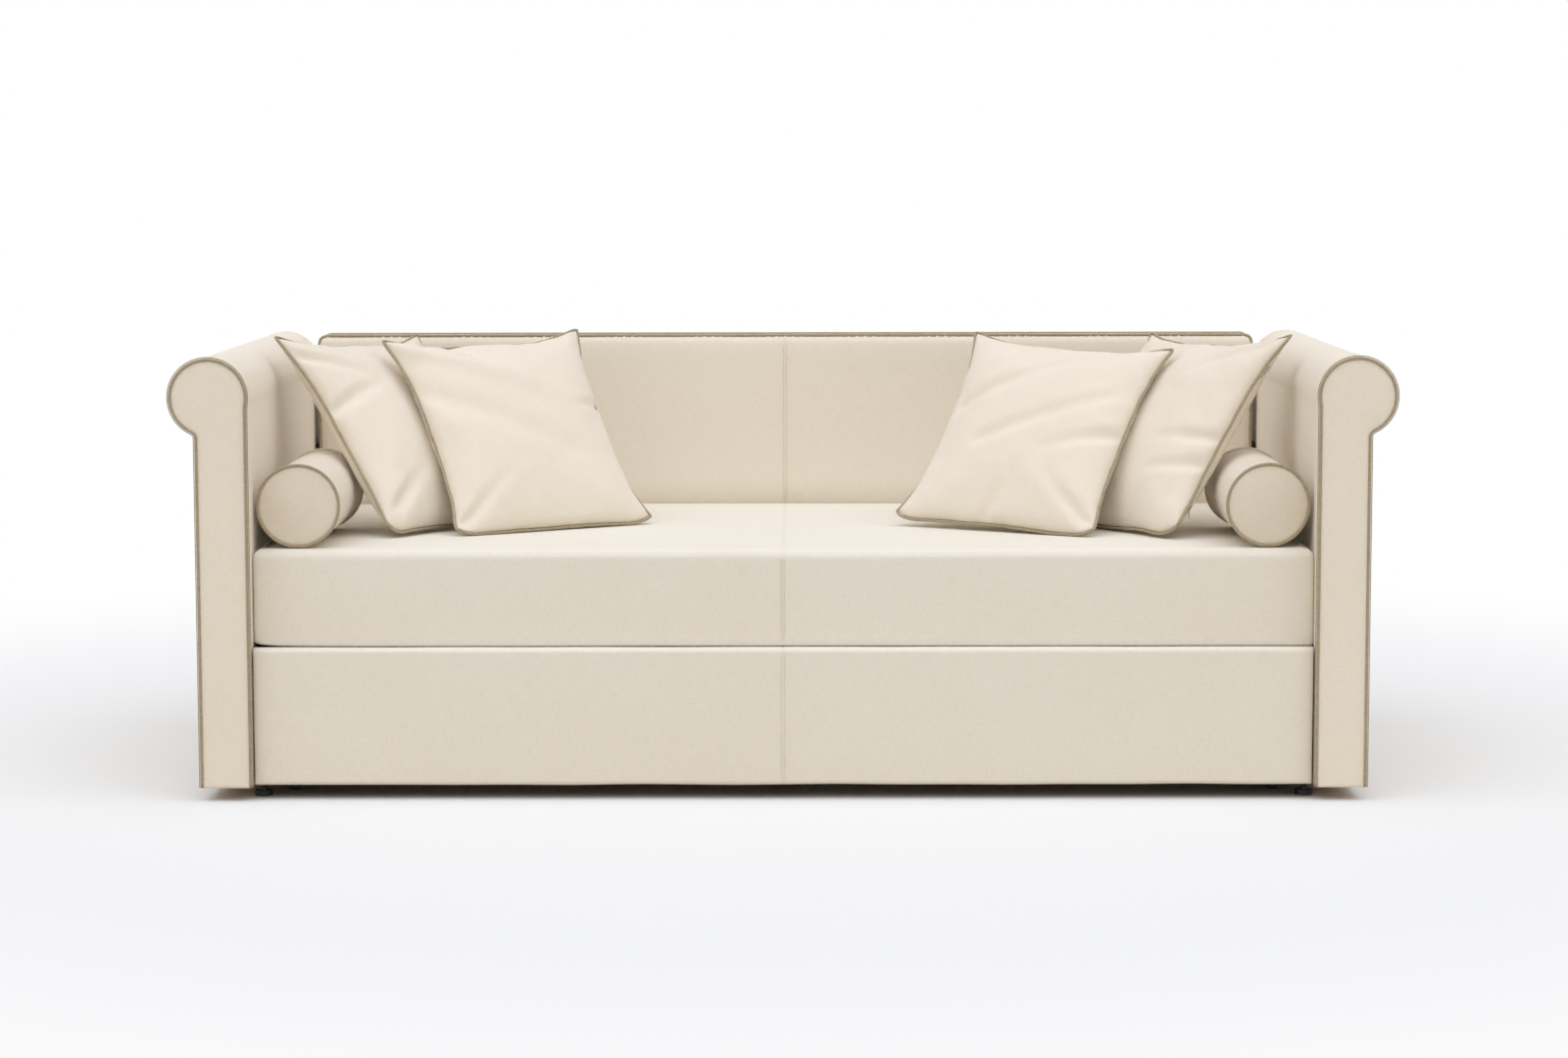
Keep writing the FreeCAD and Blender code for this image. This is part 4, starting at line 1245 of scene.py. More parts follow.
@dataclass
class Bolster:
    """A round bolster along one arm, with piped and slightly domed ends."""

    side: Side
    dome: float = 7 * MM
    segments: int = 120
    length_cuts: int = 34
    end_rings: int = 12
    waver: float = 1.6 * MM
    flat: float = 1.0 * MM
    dent: float = 2.4 * MM
    gather: float = 0.9 * MM
    shade_reach: float = 4.5 * MM
    piping_stand: float = 1 * MM

    def build(self) -> None:
        """Makes the bolster and its piping."""
        word = self.side.word
        low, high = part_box(f"bolster_{word}_cover")
        radius = (high.x - low.x) / 2
        axis = Vector(((low.x + high.x) / 2, 0.0, (low.z + high.z) / 2))
        front, rear = low.y + self.dome, high.y - self.dome
        shape = bmesh.new()
        stand = Matrix.Translation((axis.x, front, axis.z)) @ Matrix.Rotation(math.pi / 2, 4, "X")
        ring = bmesh.ops.create_circle(shape, segments=self.segments, radius=radius, matrix=stand)["verts"]
        seam_front = [vert.co.copy() for vert in ring]
        edges = list(shape.edges)
        self.cap(shape, edges, axis, front, -1)
        for _ in range(self.length_cuts):
            moved, edges, _ = next_ring(shape, edges)
            bmesh.ops.translate(shape, verts=moved, vec=(0, (rear - front) / self.length_cuts, 0))
        self.cap(shape, edges, axis, rear, 1)
        bmesh.ops.remove_doubles(shape, verts=list(shape.verts), dist=0.02 * MM)
        bmesh.ops.recalc_face_normals(shape, faces=list(shape.faces))
        self.map_round(shape, axis, radius)
        self.settle(shape, axis, radius, front, rear)
        deliver(finish_mesh(shape, f"bolster_{word}"), BOLSTER_CLOTH, "sofa",
                [f"bolster_{word}_cover", f"bolster_{word}_core"])
        for end, depth, out, finish in (("front", front, -1, PIPING_CLOTH),
                                        ("rear", rear, 1, BOLSTER_CLOTH)):
            path = [self.moved(Vector((point.x, depth, point.z)), axis, radius, self.piping_stand)
                    for point in seam_front]
            if out > 0:
                path.reverse()
            piping(f"bolster_{word}_{end}_welt", [(path, Vector((0, out, 0)), True)],
                   (CUSHION_BEAD,), "sofa", [f"bolster_{word}_piping"], finish)

    def map_round(self, shape: BMesh, axis: Vector, radius: float) -> None:
        """Lays the weave round the bolster's side and straight over its ends.

        Args:
            shape: The bmesh.
            axis: A point on the bolster's axis.
            radius: The bolster's radius.
        """
        layer = shape.loops.layers.uv.new(WEAVE)
        for face in shape.faces:
            side = abs(face.normal.y) < 0.6
            middle = face.calc_center_median()
            turn = math.atan2(middle.z - axis.z, middle.x - axis.x)
            for loop in face.loops:
                place = loop.vert.co
                angle = math.atan2(place.z - axis.z, place.x - axis.x)
                angle += math.tau * round((turn - angle) / math.tau)
                loop[layer].uv = (angle * radius, place.y) if side else (place.x, place.z)

    def cap(self, shape: BMesh, edges: list[BMEdge], axis: Vector, depth: float, out: int) -> None:
        """A domed end of rings that narrow to the middle.

        Args:
            shape: The bmesh.
            edges: The end's ring.
            axis: A point on the bolster's axis.
            depth: The ring's place along Y.
            out: Which way the end faces along Y.
        """
        centre = Vector((axis.x, depth, axis.z))
        for index in range(1, self.end_rings + 1):
            moved, edges, _ = next_ring(shape, edges)
            share = 1 - index / self.end_rings
            before = 1 - (index - 1) / self.end_rings
            shrink = share / before
            bmesh.ops.scale(shape, vec=(shrink, 1.0, shrink), verts=moved,
                            space=Matrix.Translation(-centre))
            rise = self.dome * ((1 - share * share) - (1 - before * before))
            bmesh.ops.translate(shape, verts=moved, vec=(0, out * rise, 0))

    def moved(self, place: Vector, axis: Vector, radius: float, grow: float = 0.0) -> Vector:
        """Where a point of the perfect cylinder lies on the real, slightly uneven one.

        Args:
            place: The point.
            axis: A point on the axis.
            radius: The cylinder's radius.
            grow: How far outside the cover the point lies.

        Returns:
            The moved point.
        """
        out = Vector((place.x - axis.x, 0.0, place.z - axis.z))
        reach = out.length / radius
        away = out.normalized() if reach > 1e-6 else Vector((0, 0, 0))
        lumps = noise.noise(Vector((away.x * 1.1, place.y / 0.16, away.z * 1.1 + self.side.value * 7)))
        rise = -self.waver * (0.5 + 0.5 * lumps) * reach + grow
        moved = place + away * rise
        floor = axis.z - radius + self.flat
        if moved.z < floor:
            moved.z = floor + (moved.z - floor) * 0.3
        return moved

    def settle(self, shape: BMesh, axis: Vector, radius: float, front: float, rear: float) -> None:
        """Gives the form its uneven roundness and its gathers beside the piping.

        Args:
            shape: The bmesh.
            axis: A point on the axis.
            radius: The cylinder's radius.
            front: The front seam's place along Y.
            rear: The rear seam's place along Y.
        """
        shade = shape.verts.layers.float.new(SEAM_SHADE)
        for vert in shape.verts:
            place = vert.co.copy()
            along = min(abs(place.y - front), abs(place.y - rear))
            reach = math.hypot(place.x - axis.x, place.z - axis.z)
            away = math.hypot(along, radius - reach)
            vert[shade] = math.exp(-away / self.shade_reach)
            angle = math.atan2(place.z - axis.z, place.x - axis.x)
            gather = noise.noise(Vector((angle * 9, place.y / 0.05, self.side.value * 3.0)))
            held = math.exp(-away / (22 * MM)) * (1 - math.exp(-away / (3 * MM)))
            vert.co = self.moved(place, axis, radius)
            if place.y < front - 0.1 * MM or place.y > rear + 0.1 * MM:
                dent = noise.noise(Vector((place.x / 0.06, place.z / 0.06, self.side.value * 4.0)))
                vert.co.y += self.dent * dent * min(1.0, (radius - reach) / (20 * MM))
            vert.co += vert.normal * gather * held * self.gather


# Scatter cushions

@dataclass(frozen=True)
class Fold:
    """A soft crease on a cushion's face, by its two ends in shares of half the side, across and up."""

    start: tuple[float, float]
    end: tuple[float, float]
    width: float
    depth: float
    fade: float = 1.0

    def height(self, across: float, up: float) -> float:
        """How far the crease moves the face at a place.

        Args:
            across: The place across, in shares of half the side.
            up: The place up, likewise.

        Returns:
            The move inwards, in metres, with a soft ridge on each side.
        """
        run = Vector(self.end) - Vector(self.start)
        offset = Vector((across, up)) - Vector(self.start)
        along = offset.dot(run) / run.length_squared
        aside = abs(offset.x * run.y - offset.y * run.x) / run.length / self.width
        past = max(0.0, -along, along - 1) * run.length / self.width
        taper = max(0.0, 1 - self.fade * min(1.0, max(0.0, along)))
        ridged = (1 - 0.9 * aside * aside) * math.exp(-aside * aside)
        return self.depth * taper * math.exp(-past * past) * ridged


@dataclass
class ScatterCushion:
    """A square cushion with piped edges, blown up as cloth and leant in its place."""

    side: Side
    depth: Depth
    turn: float
    tilt: float
    lean: float
    folds: tuple[Fold, ...]
    seed: float
    cells: int = 54
    flat_half: float = 240 * MM
    half: float = 231 * MM
    rise: float = 64 * MM
    pressure: float = 5.0
    frames: int = 26
    crown_power: float = 0.38
    crown_share: float = 0.62
    fold_strength: float = 2.1
    lump: float = 3.8 * MM
    small_lump: float = 1.9 * MM
    wave: float = 3.5 * MM
    gather: float = 4.2 * MM
    gather_pitch: float = 30 * MM
    gather_reach: float = 45 * MM
    gather_start: float = 7 * MM
    side_waver: float = 3.2 * MM
    small_side_waver: float = 2.0 * MM
    pull: float = 37 * MM
    pull_power: float = 3.2
    corner_power: float = 20.0
    near_corner_power: float = 9.0
    rise_extra: float = 10 * MM
    rest_drop: float = 13 * MM
    corner_lift: float = 13 * MM
    seat_gap: float = 3.2 * MM
    round_gap: float = 3.4 * MM
    piece: Optional[bpy.types.Object] = None
    rim: list[int] = field(default_factory=list)

    @property
    def name(self) -> str:
        """The cushion's word in node names."""
        return f"cushion_{self.depth.value}_{self.side.word}"

    def lay_flat(self) -> bpy.types.Object:
        """Two layers of cloth sewn together round their edge, ready to be filled.

        Returns:
            The flat cushion, in its own axes: X across, Y through and Z up.
        """
        shape = bmesh.new()
        stand = Matrix.Rotation(math.pi / 2, 4, "X")
        bmesh.ops.create_grid(shape, x_segments=self.cells, y_segments=self.cells, size=self.flat_half,
                              matrix=stand)
        layer = shape.loops.layers.uv.new(WEAVE)
        made = bmesh.ops.duplicate(shape, geom=list(shape.faces) + list(shape.edges) + list(shape.verts))
        back = of_kind(made["geom"], BMFace)
        bmesh.ops.reverse_faces(shape, faces=back)
        rear_verts = {vert for face in back for vert in face.verts}
        edge = self.flat_half - 1e-5
        for vert in shape.verts:
            if max(abs(vert.co.x), abs(vert.co.z)) < edge:
                uneven = 1 + noise.noise(vert.co * 9 + Vector((self.seed, 0, 0)))
                vert.co.y += (1 if vert in rear_verts else -1) * (0.6 + 2.5 * uneven) * MM
        bmesh.ops.remove_doubles(shape, verts=list(shape.verts), dist=0.1 * MM)
        bmesh.ops.recalc_face_normals(shape, faces=list(shape.faces))
        for face in shape.faces:
            for loop in face.loops:
                loop[layer].uv = (loop.vert.co.x, loop.vert.co.z)
        shade = shape.verts.layers.float.new(SEAM_SHADE)
        for vert in shape.verts:
            away = self.flat_half - max(abs(vert.co.x), abs(vert.co.z))
            vert[shade] = math.exp(-away / (5 * MM))
        shape.verts.index_update()
        border = [vert for vert in shape.verts if max(abs(vert.co.x), abs(vert.co.z)) > edge]
        border.sort(key=lambda vert: math.atan2(vert.co.z, vert.co.x))
        self.rim = [vert.index for vert in border]
        return finish_mesh(shape, self.name)

    def fill_up(self, flat: bpy.types.Object) -> None:
        """Adds the cloth that the filling blows up.

        Args:
            flat: The flat cushion.
        """
        cloth = flat.modifiers.new("filling", "CLOTH")
        settings = cloth.settings
        settings.quality = 6
        settings.mass = 0.3
        settings.tension_stiffness = 60
        settings.compression_stiffness = 30
        settings.shear_stiffness = 12
        settings.bending_stiffness = 0.6
        settings.use_pressure = True
        settings.uniform_pressure_force = self.pressure
        settings.effector_weights.gravity = 0.0
        settings.air_damping = 4.0
        cloth.collision_settings.use_collision = False
        cloth.point_cache.frame_end = self.frames
        self.piece = flat

    def set_down(self) -> None:
        """Takes the filled form, gives it its creases, leans it in its place and sews on its piping."""
        graph = bpy.context.evaluated_depsgraph_get()
        mesh = bpy.data.meshes.new_from_object(self.piece.evaluated_get(graph), depsgraph=graph)
        bpy.data.objects.remove(self.piece)
        self.shape_mesh(mesh)
        piece = bpy.data.objects.new(self.name, mesh)
        bpy.context.scene.collection.objects.link(piece)
        rounding = piece.modifiers.new("rounding", "SUBSURF")
        rounding.levels = rounding.render_levels = 1
        nodes = [f"{self.name}_cover"]
        if self.side is Side.LEFT and self.depth is Depth.FRONT:
            nodes.append("cushion_fillings")
        deliver(piece, CUSHION_CLOTH, "sofa", nodes)
        facing_out = self.attitude() @ Vector((0, -1, 0))
        path = [mesh.vertices[index].co.copy() for index in self.rim]
        piping(f"{self.name}_welt", [(path, facing_out, True)], (CUSHION_BEAD,), "sofa",
               [f"{self.name}_piping"])

    @property
    def centre(self) -> Vector:
        """The middle of the cushion's place."""
        low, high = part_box(f"{self.name}_cover")
        return (low + high) / 2

    def attitude(self) -> Matrix:
        """The cushion's turn from its own axes to the sofa's.

        Returns:
            The turn, as a matrix of three rows.
        """
        turn = Matrix.Rotation(math.radians(self.turn), 3, "Z")
        tilt = Matrix.Rotation(math.radians(self.tilt), 3, "Y")
        return turn @ tilt @ Matrix.Rotation(math.radians(self.lean), 3, "X")

    def shape_mesh(self, mesh: bpy.types.Mesh) -> None:
        """Scales the filled form to the cushion's real size, creases it and puts it in its place.

        Args:
            mesh: The filled mesh, changed here.
        """
        centre = self.centre
        attitude = self.attitude()
        flat = self.flat_places(mesh)
        thick = max(abs(vert.co.y) for vert in mesh.vertices)
        log.info("%s: filled to %.0f mm half thickness", self.name, thick / MM)
        on_rim = set(self.rim)
        for vert in mesh.vertices:
            across, up = flat[vert.index]
            face = 0.0 if vert.index in on_rim else math.copysign(1.0, vert.co.y)
            crown = ((1 - across * across) * (1 - up * up)) ** self.crown_power
            filled = abs(vert.co.y) / thick * min(1.0, crown * 2.5)
            rise = self.rise * (self.crown_share * crown + (1 - self.crown_share) * filled)
            if face < 0:
                creases = sum(fold.height(across, up) for fold in self.folds)
                rise -= self.fold_strength * creases * min(1.0, crown * 3)
            lumps = self.lump * noise.noise(Vector((across * 2.1, up * 2.1, self.seed + face)))
            lumps += self.small_lump * noise.noise(Vector((across * 5.5, up * 5.5, self.seed - face)))
            rise += lumps * min(1.0, crown * 2)
            rise += self.pucker(across, up, face)
            spot = self.outline_place(across, up)
            wave = self.wave * noise.noise(Vector((across * 1.7, up * 1.7, self.seed * 3)))
            spot.y = face * max(rise, 0.0) + wave
            vert.co = centre + attitude @ spot
        self.keep_clear(mesh)
        for vert in mesh.vertices:
            across, up = flat[vert.index]
            tip = max(0.0, (abs(across) - 0.76) / 0.24) ** 1.6 * max(0.0, (-up - 0.5) / 0.5) ** 1.4
            vert.co.z += self.corner_lift * tip

    def pucker(self, across: float, up: float, face: float) -> float:
        """How far the small gathers beside the piping raise the face at a place.

        Args:
            across: Share of half the side across.
            up: Share of half the side up.
            face: Which face, as -1 or 1.

        Returns:
            The rise, in metres.
        """
        beside = abs(across) > abs(up)
        away = (1 - max(abs(across), abs(up))) * self.half
        along = up if beside else across
        sewn = 2.0 * math.copysign(1.0, across if beside else up) + (0.5 if beside else 0.0)
        gather = noise.noise(Vector((along * self.half / self.gather_pitch, sewn + face, self.seed)))
        held = math.exp(-away / self.gather_reach) * (1 - math.exp(-away / self.gather_start))
        return self.gather * gather * held

    def flat_places(self, mesh: bpy.types.Mesh) -> list[tuple[float, float]]:
        """Reads from the weave's map where each vertex lay in the flat cushion.

        Args:
            mesh: The filled mesh.

        Returns:
            The places across and up, by vertex, in shares of half the side.
        """
        found = [(0.0, 0.0)] * len(mesh.vertices)
        layer = mesh.uv_layers[WEAVE].data
        for loop in mesh.loops:
            spot = layer[loop.index].uv
            found[loop.vertex_index] = (min(1.0, max(-1.0, spot.x / self.flat_half)),
                                        min(1.0, max(-1.0, spot.y / self.flat_half)))
        return found

    def outline_place(self, across: float, up: float) -> Vector:
        """A place in the sewn cushion's plane: sides pulled in between rounded corners.

        Args:
            across: Share of half the side across.
            up: Share of half the side up.

        Returns:
            The place, in the cushion's own axes.
        """
        level = max(abs(across), abs(up))
        if level < 1e-9:
            return Vector((0.0, 0.0, 0.0))
        near = up < 0 < across * self.side.value
        tips = self.near_corner_power if near else self.corner_power
        rounded = level / (abs(across) ** tips + abs(up) ** tips) ** (1 / tips)
        rounded = 1 + (rounded - 1) * level ** 4
        spot = Vector((across, 0.0, up))
        waver = self.side_waver * noise.noise(spot * 2.3 + Vector((0.0, self.seed * 2, 0.0)))
        waver += self.small_side_waver * noise.noise(spot * 8.0 + Vector((0.0, self.seed * 5, 0.0)))
        pull_across = self.pull * (1 - abs(up) ** self.pull_power) * across * across
        pull_up = self.pull * (1 - abs(across) ** self.pull_power) * up * up
        size_up = self.half + self.rise_extra * max(up, 0.0)
        if up < 0:
            pull_up *= 1 + 0.6 * up
            size_up -= self.rest_drop * up
        x = across * rounded * (self.half - pull_across + waver * across * across)
        z = up * rounded * (size_up - pull_up + waver * up * up)
        return Vector((x, 0.0, z))

    def keep_clear(self, mesh: bpy.types.Mesh) -> None:
        """Flattens the cushion where it meets the seat, the bolster and the arm's scroll.

        Args:
            mesh: The placed mesh, changed here.
        """
        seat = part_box("upper_mattress_cover")[1].z + self.seat_gap
        low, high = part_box(f"bolster_{self.side.word}_cover")
        arm_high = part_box("right_arm_cover")[1]
        scroll = ScrollArm.scroll_radius
        rounds = [((low.x + high.x) / 2, (low.z + high.z) / 2, (high.x - low.x) / 2 + self.round_gap,
                   high.y),
                  (self.side.value * (arm_high.x - scroll), arm_high.z - scroll, scroll + self.round_gap,
                   arm_high.y)]
        for vert in mesh.vertices:
            place = vert.co
            for x, z, radius, rear in rounds:
                away = Vector((place.x - x, 0.0, place.z - z))
                if place.y < rear and 1e-6 < away.length < radius:
                    place += away.normalized() * (radius - away.length)
            place.z = max(place.z, seat)


@dataclass
class Zip:
    """The zip in a cushion's side, with its tape behind the piping and a small pull at its lower end."""

    cushion: ScatterCushion
    low_share: float = -0.72
    high_share: float = 0.70
    tape: Strand = Strand(0.0, 0.0, 2.6 * MM, 0.9 * MM, 8)
    behind: float = 7 * MM
    inward: float = 5 * MM
    steps: int = 40
    pull_size: tuple[float, float, float] = (1.6 * MM, 5 * MM, 15 * MM)

    def build(self) -> None:
        """Makes the tape and its pull along the cushion's outer side."""
        cushion = self.cushion
        attitude, centre = cushion.attitude(), cushion.centre
        path = []
        side = float(cushion.side.value)
        for index in range(self.steps + 1):
            up = self.low_share + (self.high_share - self.low_share) * index / self.steps
            spot = cushion.outline_place(side, up)
            spot += Vector((-side * self.inward, self.behind, 0.0))
            path.append(centre + attitude @ spot)
        shape = bmesh.new()
        sweep(shape, path, attitude @ Vector((side, 0.6, 0.0)).normalized(), self.tape, False)
        stand = Matrix.Translation(path[0] + Vector((0.0, 0.0, -self.pull_size[2] / 2)))
        sized = Matrix.Diagonal((*self.pull_size, 1.0))
        made = bmesh.ops.create_cube(shape, size=1.0, matrix=stand @ sized)["verts"]
        round_off(shape, edges_of(made), 0.5 * MM, 2)
        bmesh.ops.recalc_face_normals(shape, faces=list(shape.faces))
        deliver(finish_mesh(shape, f"{cushion.name}_zip"), PIPING_CLOTH, "sofa")


@dataclass
class Topstitch:
    """Two rows of stitches beside an upright seam at the sofa's middle."""

    name: str
    cover: bpy.types.Object
    body: str
    finish: Finish
    slot: str
    low: float
    high: float
    spread: float = 3.4 * MM
    pitch: float = 4.2 * MM
    thread: float = 0.45 * MM
    length: float = 2.9 * MM

    def build(self) -> None:
        """Lays each stitch on the cover's front."""
        tree = BVHTree.FromObject(self.cover, bpy.context.evaluated_depsgraph_get())
        shape = bmesh.new()
        layer = shape.loops.layers.uv.new(WEAVE)
        for x in (-self.spread, self.spread):
            for index in range(int((self.high - self.low) / self.pitch)):
                z = self.low + self.pitch * (index + 0.5)
                hit = tree.ray_cast(Vector((x, -2.0, z)), Vector((0.0, 1.0, 0.0)))[0]
                if hit is None:
                    continue
                bmesh.ops.create_cone(shape, segments=6, radius1=self.thread, radius2=self.thread,
                                      depth=self.length, cap_ends=True, matrix=Matrix.Translation(hit))
        for face in shape.faces:
            for loop in face.loops:
                loop[layer].uv = (loop.vert.co.x, loop.vert.co.z)
        deliver(finish_mesh(shape, self.name), self.finish, self.body)


# Frame parts that keep their solids

@dataclass
class FrameParts:
    """The hard parts: timber, steel, slats, castors and feet, each with its finish."""

    finishes: tuple[tuple[Finish, str, tuple[str, ...]], ...] = (
        (FRAME_TIMBER, "frame_timber", ("left_arm_frame", "right_arm_frame", "back_frame")),
        (STAINED_TIMBER, "frame_timber", ("back_spacers",)),
        (BOARD_TIMBER, "frame_timber", ("drawer_board",)),
        (SLAT_BIRCH, "slat_birch", ("upper_slats", "lower_slats")),
        (BLACK_STEEL, "frame_steel", ("base_front_rail", "base_rear_rail", "base_end_rails",
                                      "base_corner_angles", "foot_brackets", "lower_front_rail",
                                      "lower_rear_rail", "lower_end_rails", "castor_brackets",
                                      "foot_stems")),
        (ZINC_STEEL, "zinc_steel", ("frame_bolts", "foot_screws", "drawer_screws", "castor_axles")),
        (BLACK_PLASTIC, "black_plastic", ("foot_pads", "upper_slat_holders", "lower_slat_holders")),
        (BUFFER_RUBBER, "buffer_rubber", ("stop_buffers",)),
        (TYRE_RUBBER, "castor_rubber", ("castor_wheel_front_left", "castor_wheel_front_right",
                                        "castor_wheel_rear_left", "castor_wheel_rear_right")),
    )

    def dress(self) -> None:
        """Gives each solid its finish."""
        for finish, slot, nodes in self.finishes:
            for node in nodes:
                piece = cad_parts[node]
                piece.data.materials.clear()
                piece.data.materials.append(finish.material())
                log.info("%s: %s", node, finish.name)


# Studio

@dataclass
class Studio:
    """A plain pale floor, soft light from above and a camera in front."""

    floor_half: float = 30.0
    floor_bounce: tuple[float, float, float, float] = (0.70, 0.65, 0.57, 1.0)
    floor_seen: tuple[float, float, float, float] = (0.835, 0.83, 0.82, 1.0)
    white: tuple[float, float, float, float] = (1.0, 1.0, 1.0, 1.0)
    far_start: float = 1.7
    far_end: float = 3.4
    lamp_angle: float = 70.0
    top_light: float = 1.0
    top_tint: tuple[float, float, float] = (0.89, 0.975, 1.17)
    top_turn: float = 17.0
    side_light: float = 0.57
    side_tint: tuple[float, float, float] = (0.98, 0.985, 1.0)
    side_turn: float = 25.0
    side_lean: float = 38.0
    zenith_light: float = 0.68
    horizon_light: float = 0.27
    sky_tint: tuple[float, float, float, float] = (1.0, 0.975, 0.93, 1.0)
    camera_place: tuple[float, float, float] = (0.0424, -7.219, 1.219)
    pitch_down: float = 5.98
    yaw: float = 0.34
    roll: float = -0.0019
    focal: float = 3676.5
    picture_width: float = 1600.0
    sensor: float = 36.0

    def build(self) -> None:
        """Makes the floor, the lights and the camera."""
        self.lay_floor()
        self.hang_lamps()
        self.light_world()
        self.set_camera()
        bpy.context.scene.view_settings.view_transform = "Standard"

    def lay_floor(self) -> None:
        """A wide pale floor that fades to plain white away from the sofa."""
        shape = bmesh.new()
        bmesh.ops.create_grid(shape, x_segments=4, y_segments=4, size=self.floor_half)
        floor = finish_mesh(shape, "studio_floor")
        material = bpy.data.materials.new("studio floor")
        material.use_nodes = True
        board = NodeBoard(material.node_tree)
        material.node_tree.nodes.clear()
        solid = board.add("TexCoord").outputs["Object"]
        bounce = board.add("BsdfDiffuse", Color=self.floor_bounce)
        seen = board.add("BsdfDiffuse", Color=self.floor_seen)
        white = board.add("Emission", Color=self.white, Strength=1.0)
        away = board.add("VectorMath", {"operation": "LENGTH"}, Vector=solid).outputs["Value"]
        far = board.add("MapRange", {"interpolation_type": "SMOOTHSTEP"}, Value=away)
        far.inputs["From Min"].default_value = self.far_start
        far.inputs["From Max"].default_value = self.far_end
        near = board.mix_shaders(far.outputs[0], seen, white)
        mixed = board.mix_shaders(board.backdrop_rays(), bounce, near)
        board.add("OutputMaterial", Surface=mixed.outputs[0])
        floor.data.materials.append(material)

    def hang_lamps(self) -> None:
        """Broad soft lights from above and from both sides."""
        for name, energy, tint, turn, lean in (
                ("overhead softbox", self.top_light, self.top_tint, self.top_turn, 0.0),
                ("left softbox", self.side_light, self.side_tint, self.side_turn, -self.side_lean),
                ("right softbox", self.side_light, self.side_tint, self.side_turn, self.side_lean)):
            lamp_data = bpy.data.lights.new(name, "SUN")
            lamp_data.energy = energy
            lamp_data.angle = math.radians(self.lamp_angle)
            lamp_data.color = tint
            lamp = bpy.data.objects.new(name, lamp_data)
            lamp.rotation_euler = (math.radians(turn), math.radians(lean), 0.0)
            bpy.context.scene.collection.objects.link(lamp)

    def light_world(self) -> None:
        """A plain light from all round, stronger from above, behind a white backdrop."""
        world = bpy.data.worlds.new("studio")
        bpy.context.scene.world = world
        world.use_nodes = True
        board = NodeBoard(world.node_tree)
        world.node_tree.nodes.clear()
        way = board.add("SeparateXYZ", Vector=board.add("TexCoord").outputs["Generated"])
        growth = self.zenith_light - self.horizon_light
        level = board.sum("MULTIPLY_ADD", board.held(way.outputs[2]), growth, self.horizon_light)
        plain = board.add("Background", Color=self.sky_tint, Strength=level)
        white = board.add("Background", Color=self.white, Strength=1.0)
        mixed = board.mix_shaders(board.backdrop_rays(), plain, white)
        board.add("OutputWorld", Surface=mixed.outputs[0])

    def set_camera(self) -> None:
        """The camera at the picture's place, with the picture's angle of view."""
        data = bpy.data.cameras.new("front camera")
        data.sensor_width = self.sensor
        data.lens = self.focal / self.picture_width * self.sensor
        data.clip_end = 200.0
        camera = bpy.data.objects.new("front camera", data)
        camera.location = self.camera_place
        turn = Matrix.Rotation(math.radians(self.yaw), 4, "Z")
        pitch = Matrix.Rotation(math.radians(90.0 - self.pitch_down), 4, "X")
        camera.rotation_euler = (turn @ pitch @ Matrix.Rotation(self.roll, 4, "Z")).to_euler()
        bpy.context.scene.collection.objects.link(camera)
        bpy.context.scene.camera = camera


def make_cushions() -> list[ScatterCushion]:
    """The four cushions with their attitudes and creases.

    Returns:
        The cushions, front ones first.
    """
    return [
        ScatterCushion(Side.LEFT, Depth.FRONT, 33.7, -1.1, -36.6, (
            Fold((-0.95, 0.95), (0.55, 0.15), 0.13, -5 * MM, 0.8),
            Fold((-0.9, 0.35), (0.35, -0.35), 0.14, 4 * MM, 0.7),
            Fold((-0.4, 1.0), (-0.15, 0.6), 0.10, 6 * MM, 0.8),
            Fold((0.95, 0.15), (0.55, 0.1), 0.06, 6 * MM, 0.9),
            Fold((-0.9, -0.9), (-0.35, -0.5), 0.08, 6 * MM, 0.9),
        ), 1.7),
        ScatterCushion(Side.RIGHT, Depth.FRONT, -31.2, 2.8, -40.2, (
            Fold((-0.75, 0.1), (0.35, 0.75), 0.09, 5 * MM, 0.6),
            Fold((-0.35, -0.25), (0.75, 0.35), 0.09, 5 * MM, 0.5),
            Fold((0.95, 0.0), (0.25, -0.3), 0.08, 6 * MM, 0.8),
            Fold((0.9, -0.9), (0.45, -0.6), 0.08, 6 * MM, 0.8),
            Fold((-0.1, -0.95), (0.05, -0.55), 0.07, 5 * MM, 0.9),
        ), 5.2),
        ScatterCushion(Side.LEFT, Depth.REAR, 58.0, 2.0, -37.2, (
            Fold((-0.95, 0.2), (-0.3, 0.35), 0.08, 8 * MM, 0.8),
            Fold((-0.9, 0.75), (-0.4, 0.5), 0.08, 6 * MM, 0.8),
            Fold((-0.8, -0.8), (-0.3, -0.5), 0.08, 6 * MM, 0.9),
        ), 9.4),
        ScatterCushion(Side.RIGHT, Depth.REAR, -58.5, -1.9, -36.5, (
            Fold((0.95, -0.1), (0.35, -0.2), 0.07, 7 * MM, 0.8),
            Fold((0.95, -0.35), (0.4, -0.5), 0.07, 7 * MM, 0.8),
            Fold((0.8, 0.85), (0.2, 0.5), 0.09, 5 * MM, 0.8),
        ), 14.9),
    ]


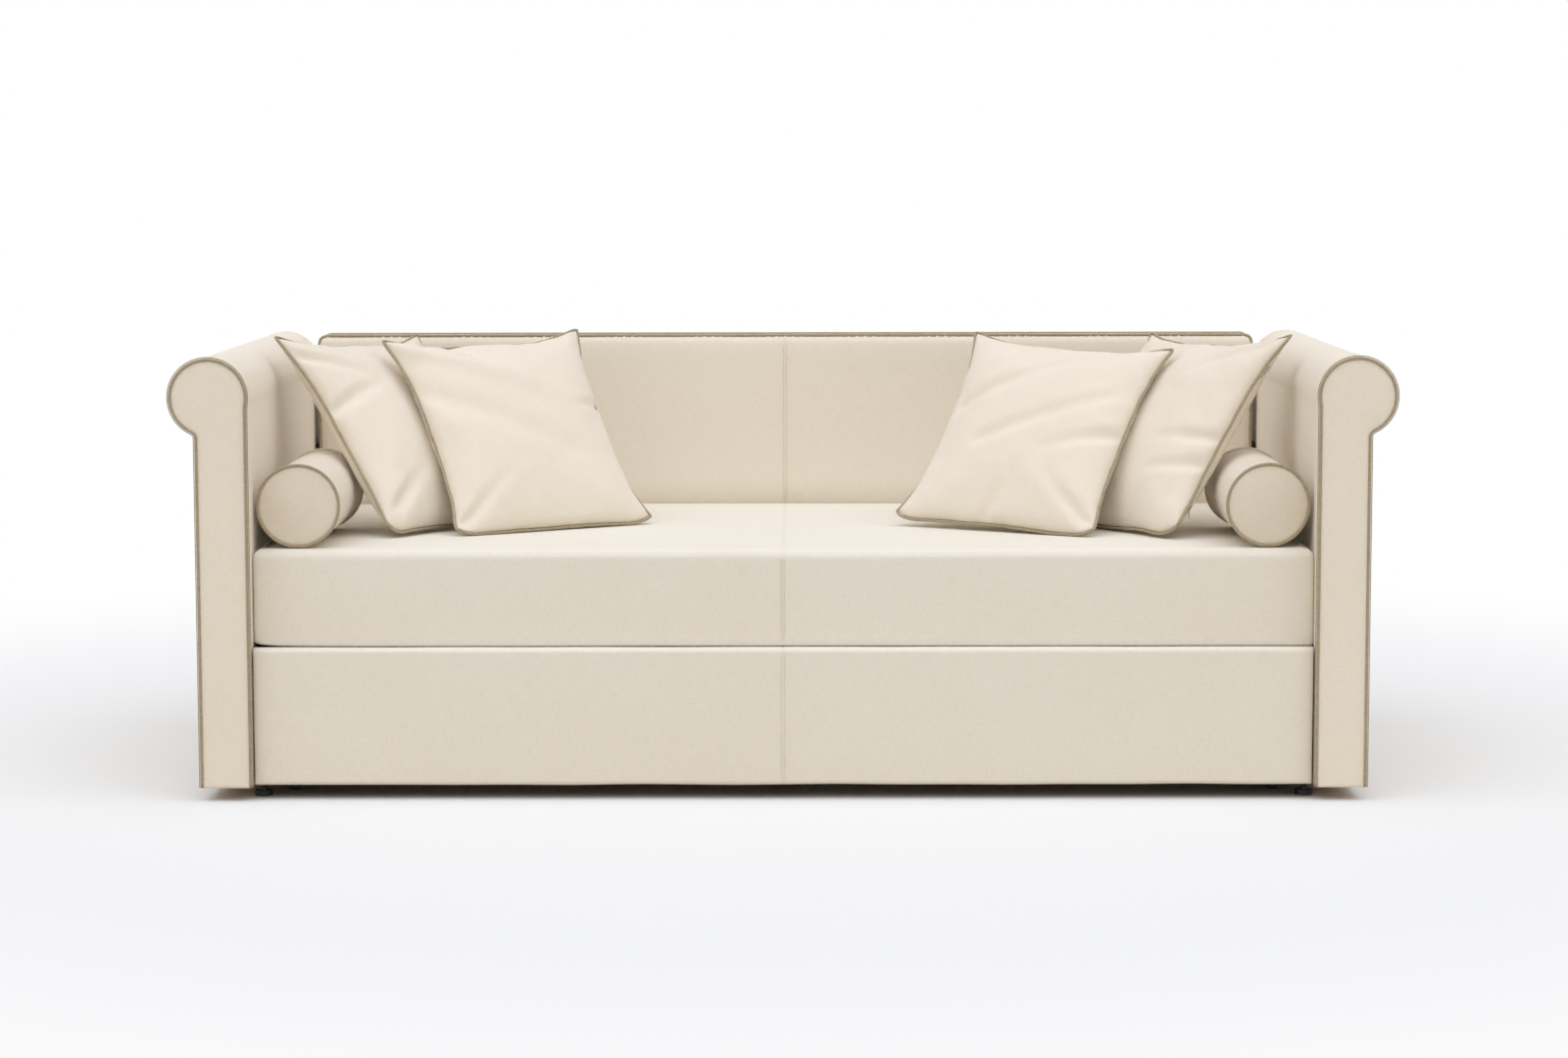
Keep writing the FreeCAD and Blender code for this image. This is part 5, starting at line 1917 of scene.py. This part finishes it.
def fill_cushions(cushions: Sequence[ScatterCushion]) -> None:
    """Blows up every cushion in one run of frames and puts each in its place.

    Args:
        cushions: The cushions.
    """
    scene = bpy.context.scene
    for cushion in cushions:
        cushion.fill_up(cushion.lay_flat())
    full = max(cushion.frames for cushion in cushions)
    last = full
    scene.frame_start, scene.frame_end = 1, full
    for number in range(1, last + 1):
        scene.frame_set(number)
    for cushion in cushions:
        cushion.set_down()
    scene.frame_set(1)


def build_beds() -> None:
    """Makes the back, the two mattresses and the pull-out front, and stitches their middle seams."""
    back = BackPanel().build()
    seat = BoxedCover("seat_mattress", ("upper_mattress_cover", "upper_mattress_core"), "sofa", BED_CLOTH,
                      "mattress_cloth", edge_radius=18 * MM, corner_radius=12 * MM, lift=6 * MM,
                      crown=1.5 * MM, droop=6.4 * MM, side_swell=3 * MM).build()
    BoxedCover("lower_mattress", ("lower_mattress_cover", "lower_mattress_core"), "trundle", BED_CLOTH,
               "mattress_cloth", edge_radius=14 * MM, corner_radius=22 * MM).build()
    front = DrawerFront("drawer_upholstery", ("drawer_cover", "drawer_padding"), "trundle", BED_CLOTH,
                        "upholstery_cloth", edge_radius=8 * MM, corner_radius=0.0, hem=22 * MM,
                        cell=(14 * MM, 10 * MM, 12 * MM), side_swell=1.6 * MM,
                        padding=Padding(swell=0.0, sink=1.0 * MM, waver=0.9 * MM, pucker=0.3 * MM)).build()
    seat_low, seat_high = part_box("upper_mattress_cover")
    back_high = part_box("back_cover")[1]
    drawer_low, drawer_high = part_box("drawer_cover")
    for name, cover, body, slot, low, high in (
            ("back_topstitch", back, "sofa", "upholstery_cloth", seat_high.z + 4 * MM, back_high.z - 12 * MM),
            ("seat_topstitch", seat, "sofa", "mattress_cloth", seat_low.z + 20 * MM, seat_high.z - 20 * MM),
            ("drawer_topstitch", front, "trundle", "upholstery_cloth", drawer_low.z + 12 * MM,
             drawer_high.z - 12 * MM)):
        Topstitch(name, cover, body, THREAD, slot, low, high).build()


def main() -> None:
    """Builds every sub-assembly in order."""
    logging.basicConfig(level=logging.INFO, format="%(name)s: %(message)s")
    Studio().build()
    for side in Side:
        ScrollArm(side).build()
    build_beds()
    for side in Side:
        Bolster(side).build()
    cushions = make_cushions()
    fill_cushions(cushions)
    Zip(cushions[3]).build()
    FrameParts().dress()


if __name__ == "__main__":
    main()
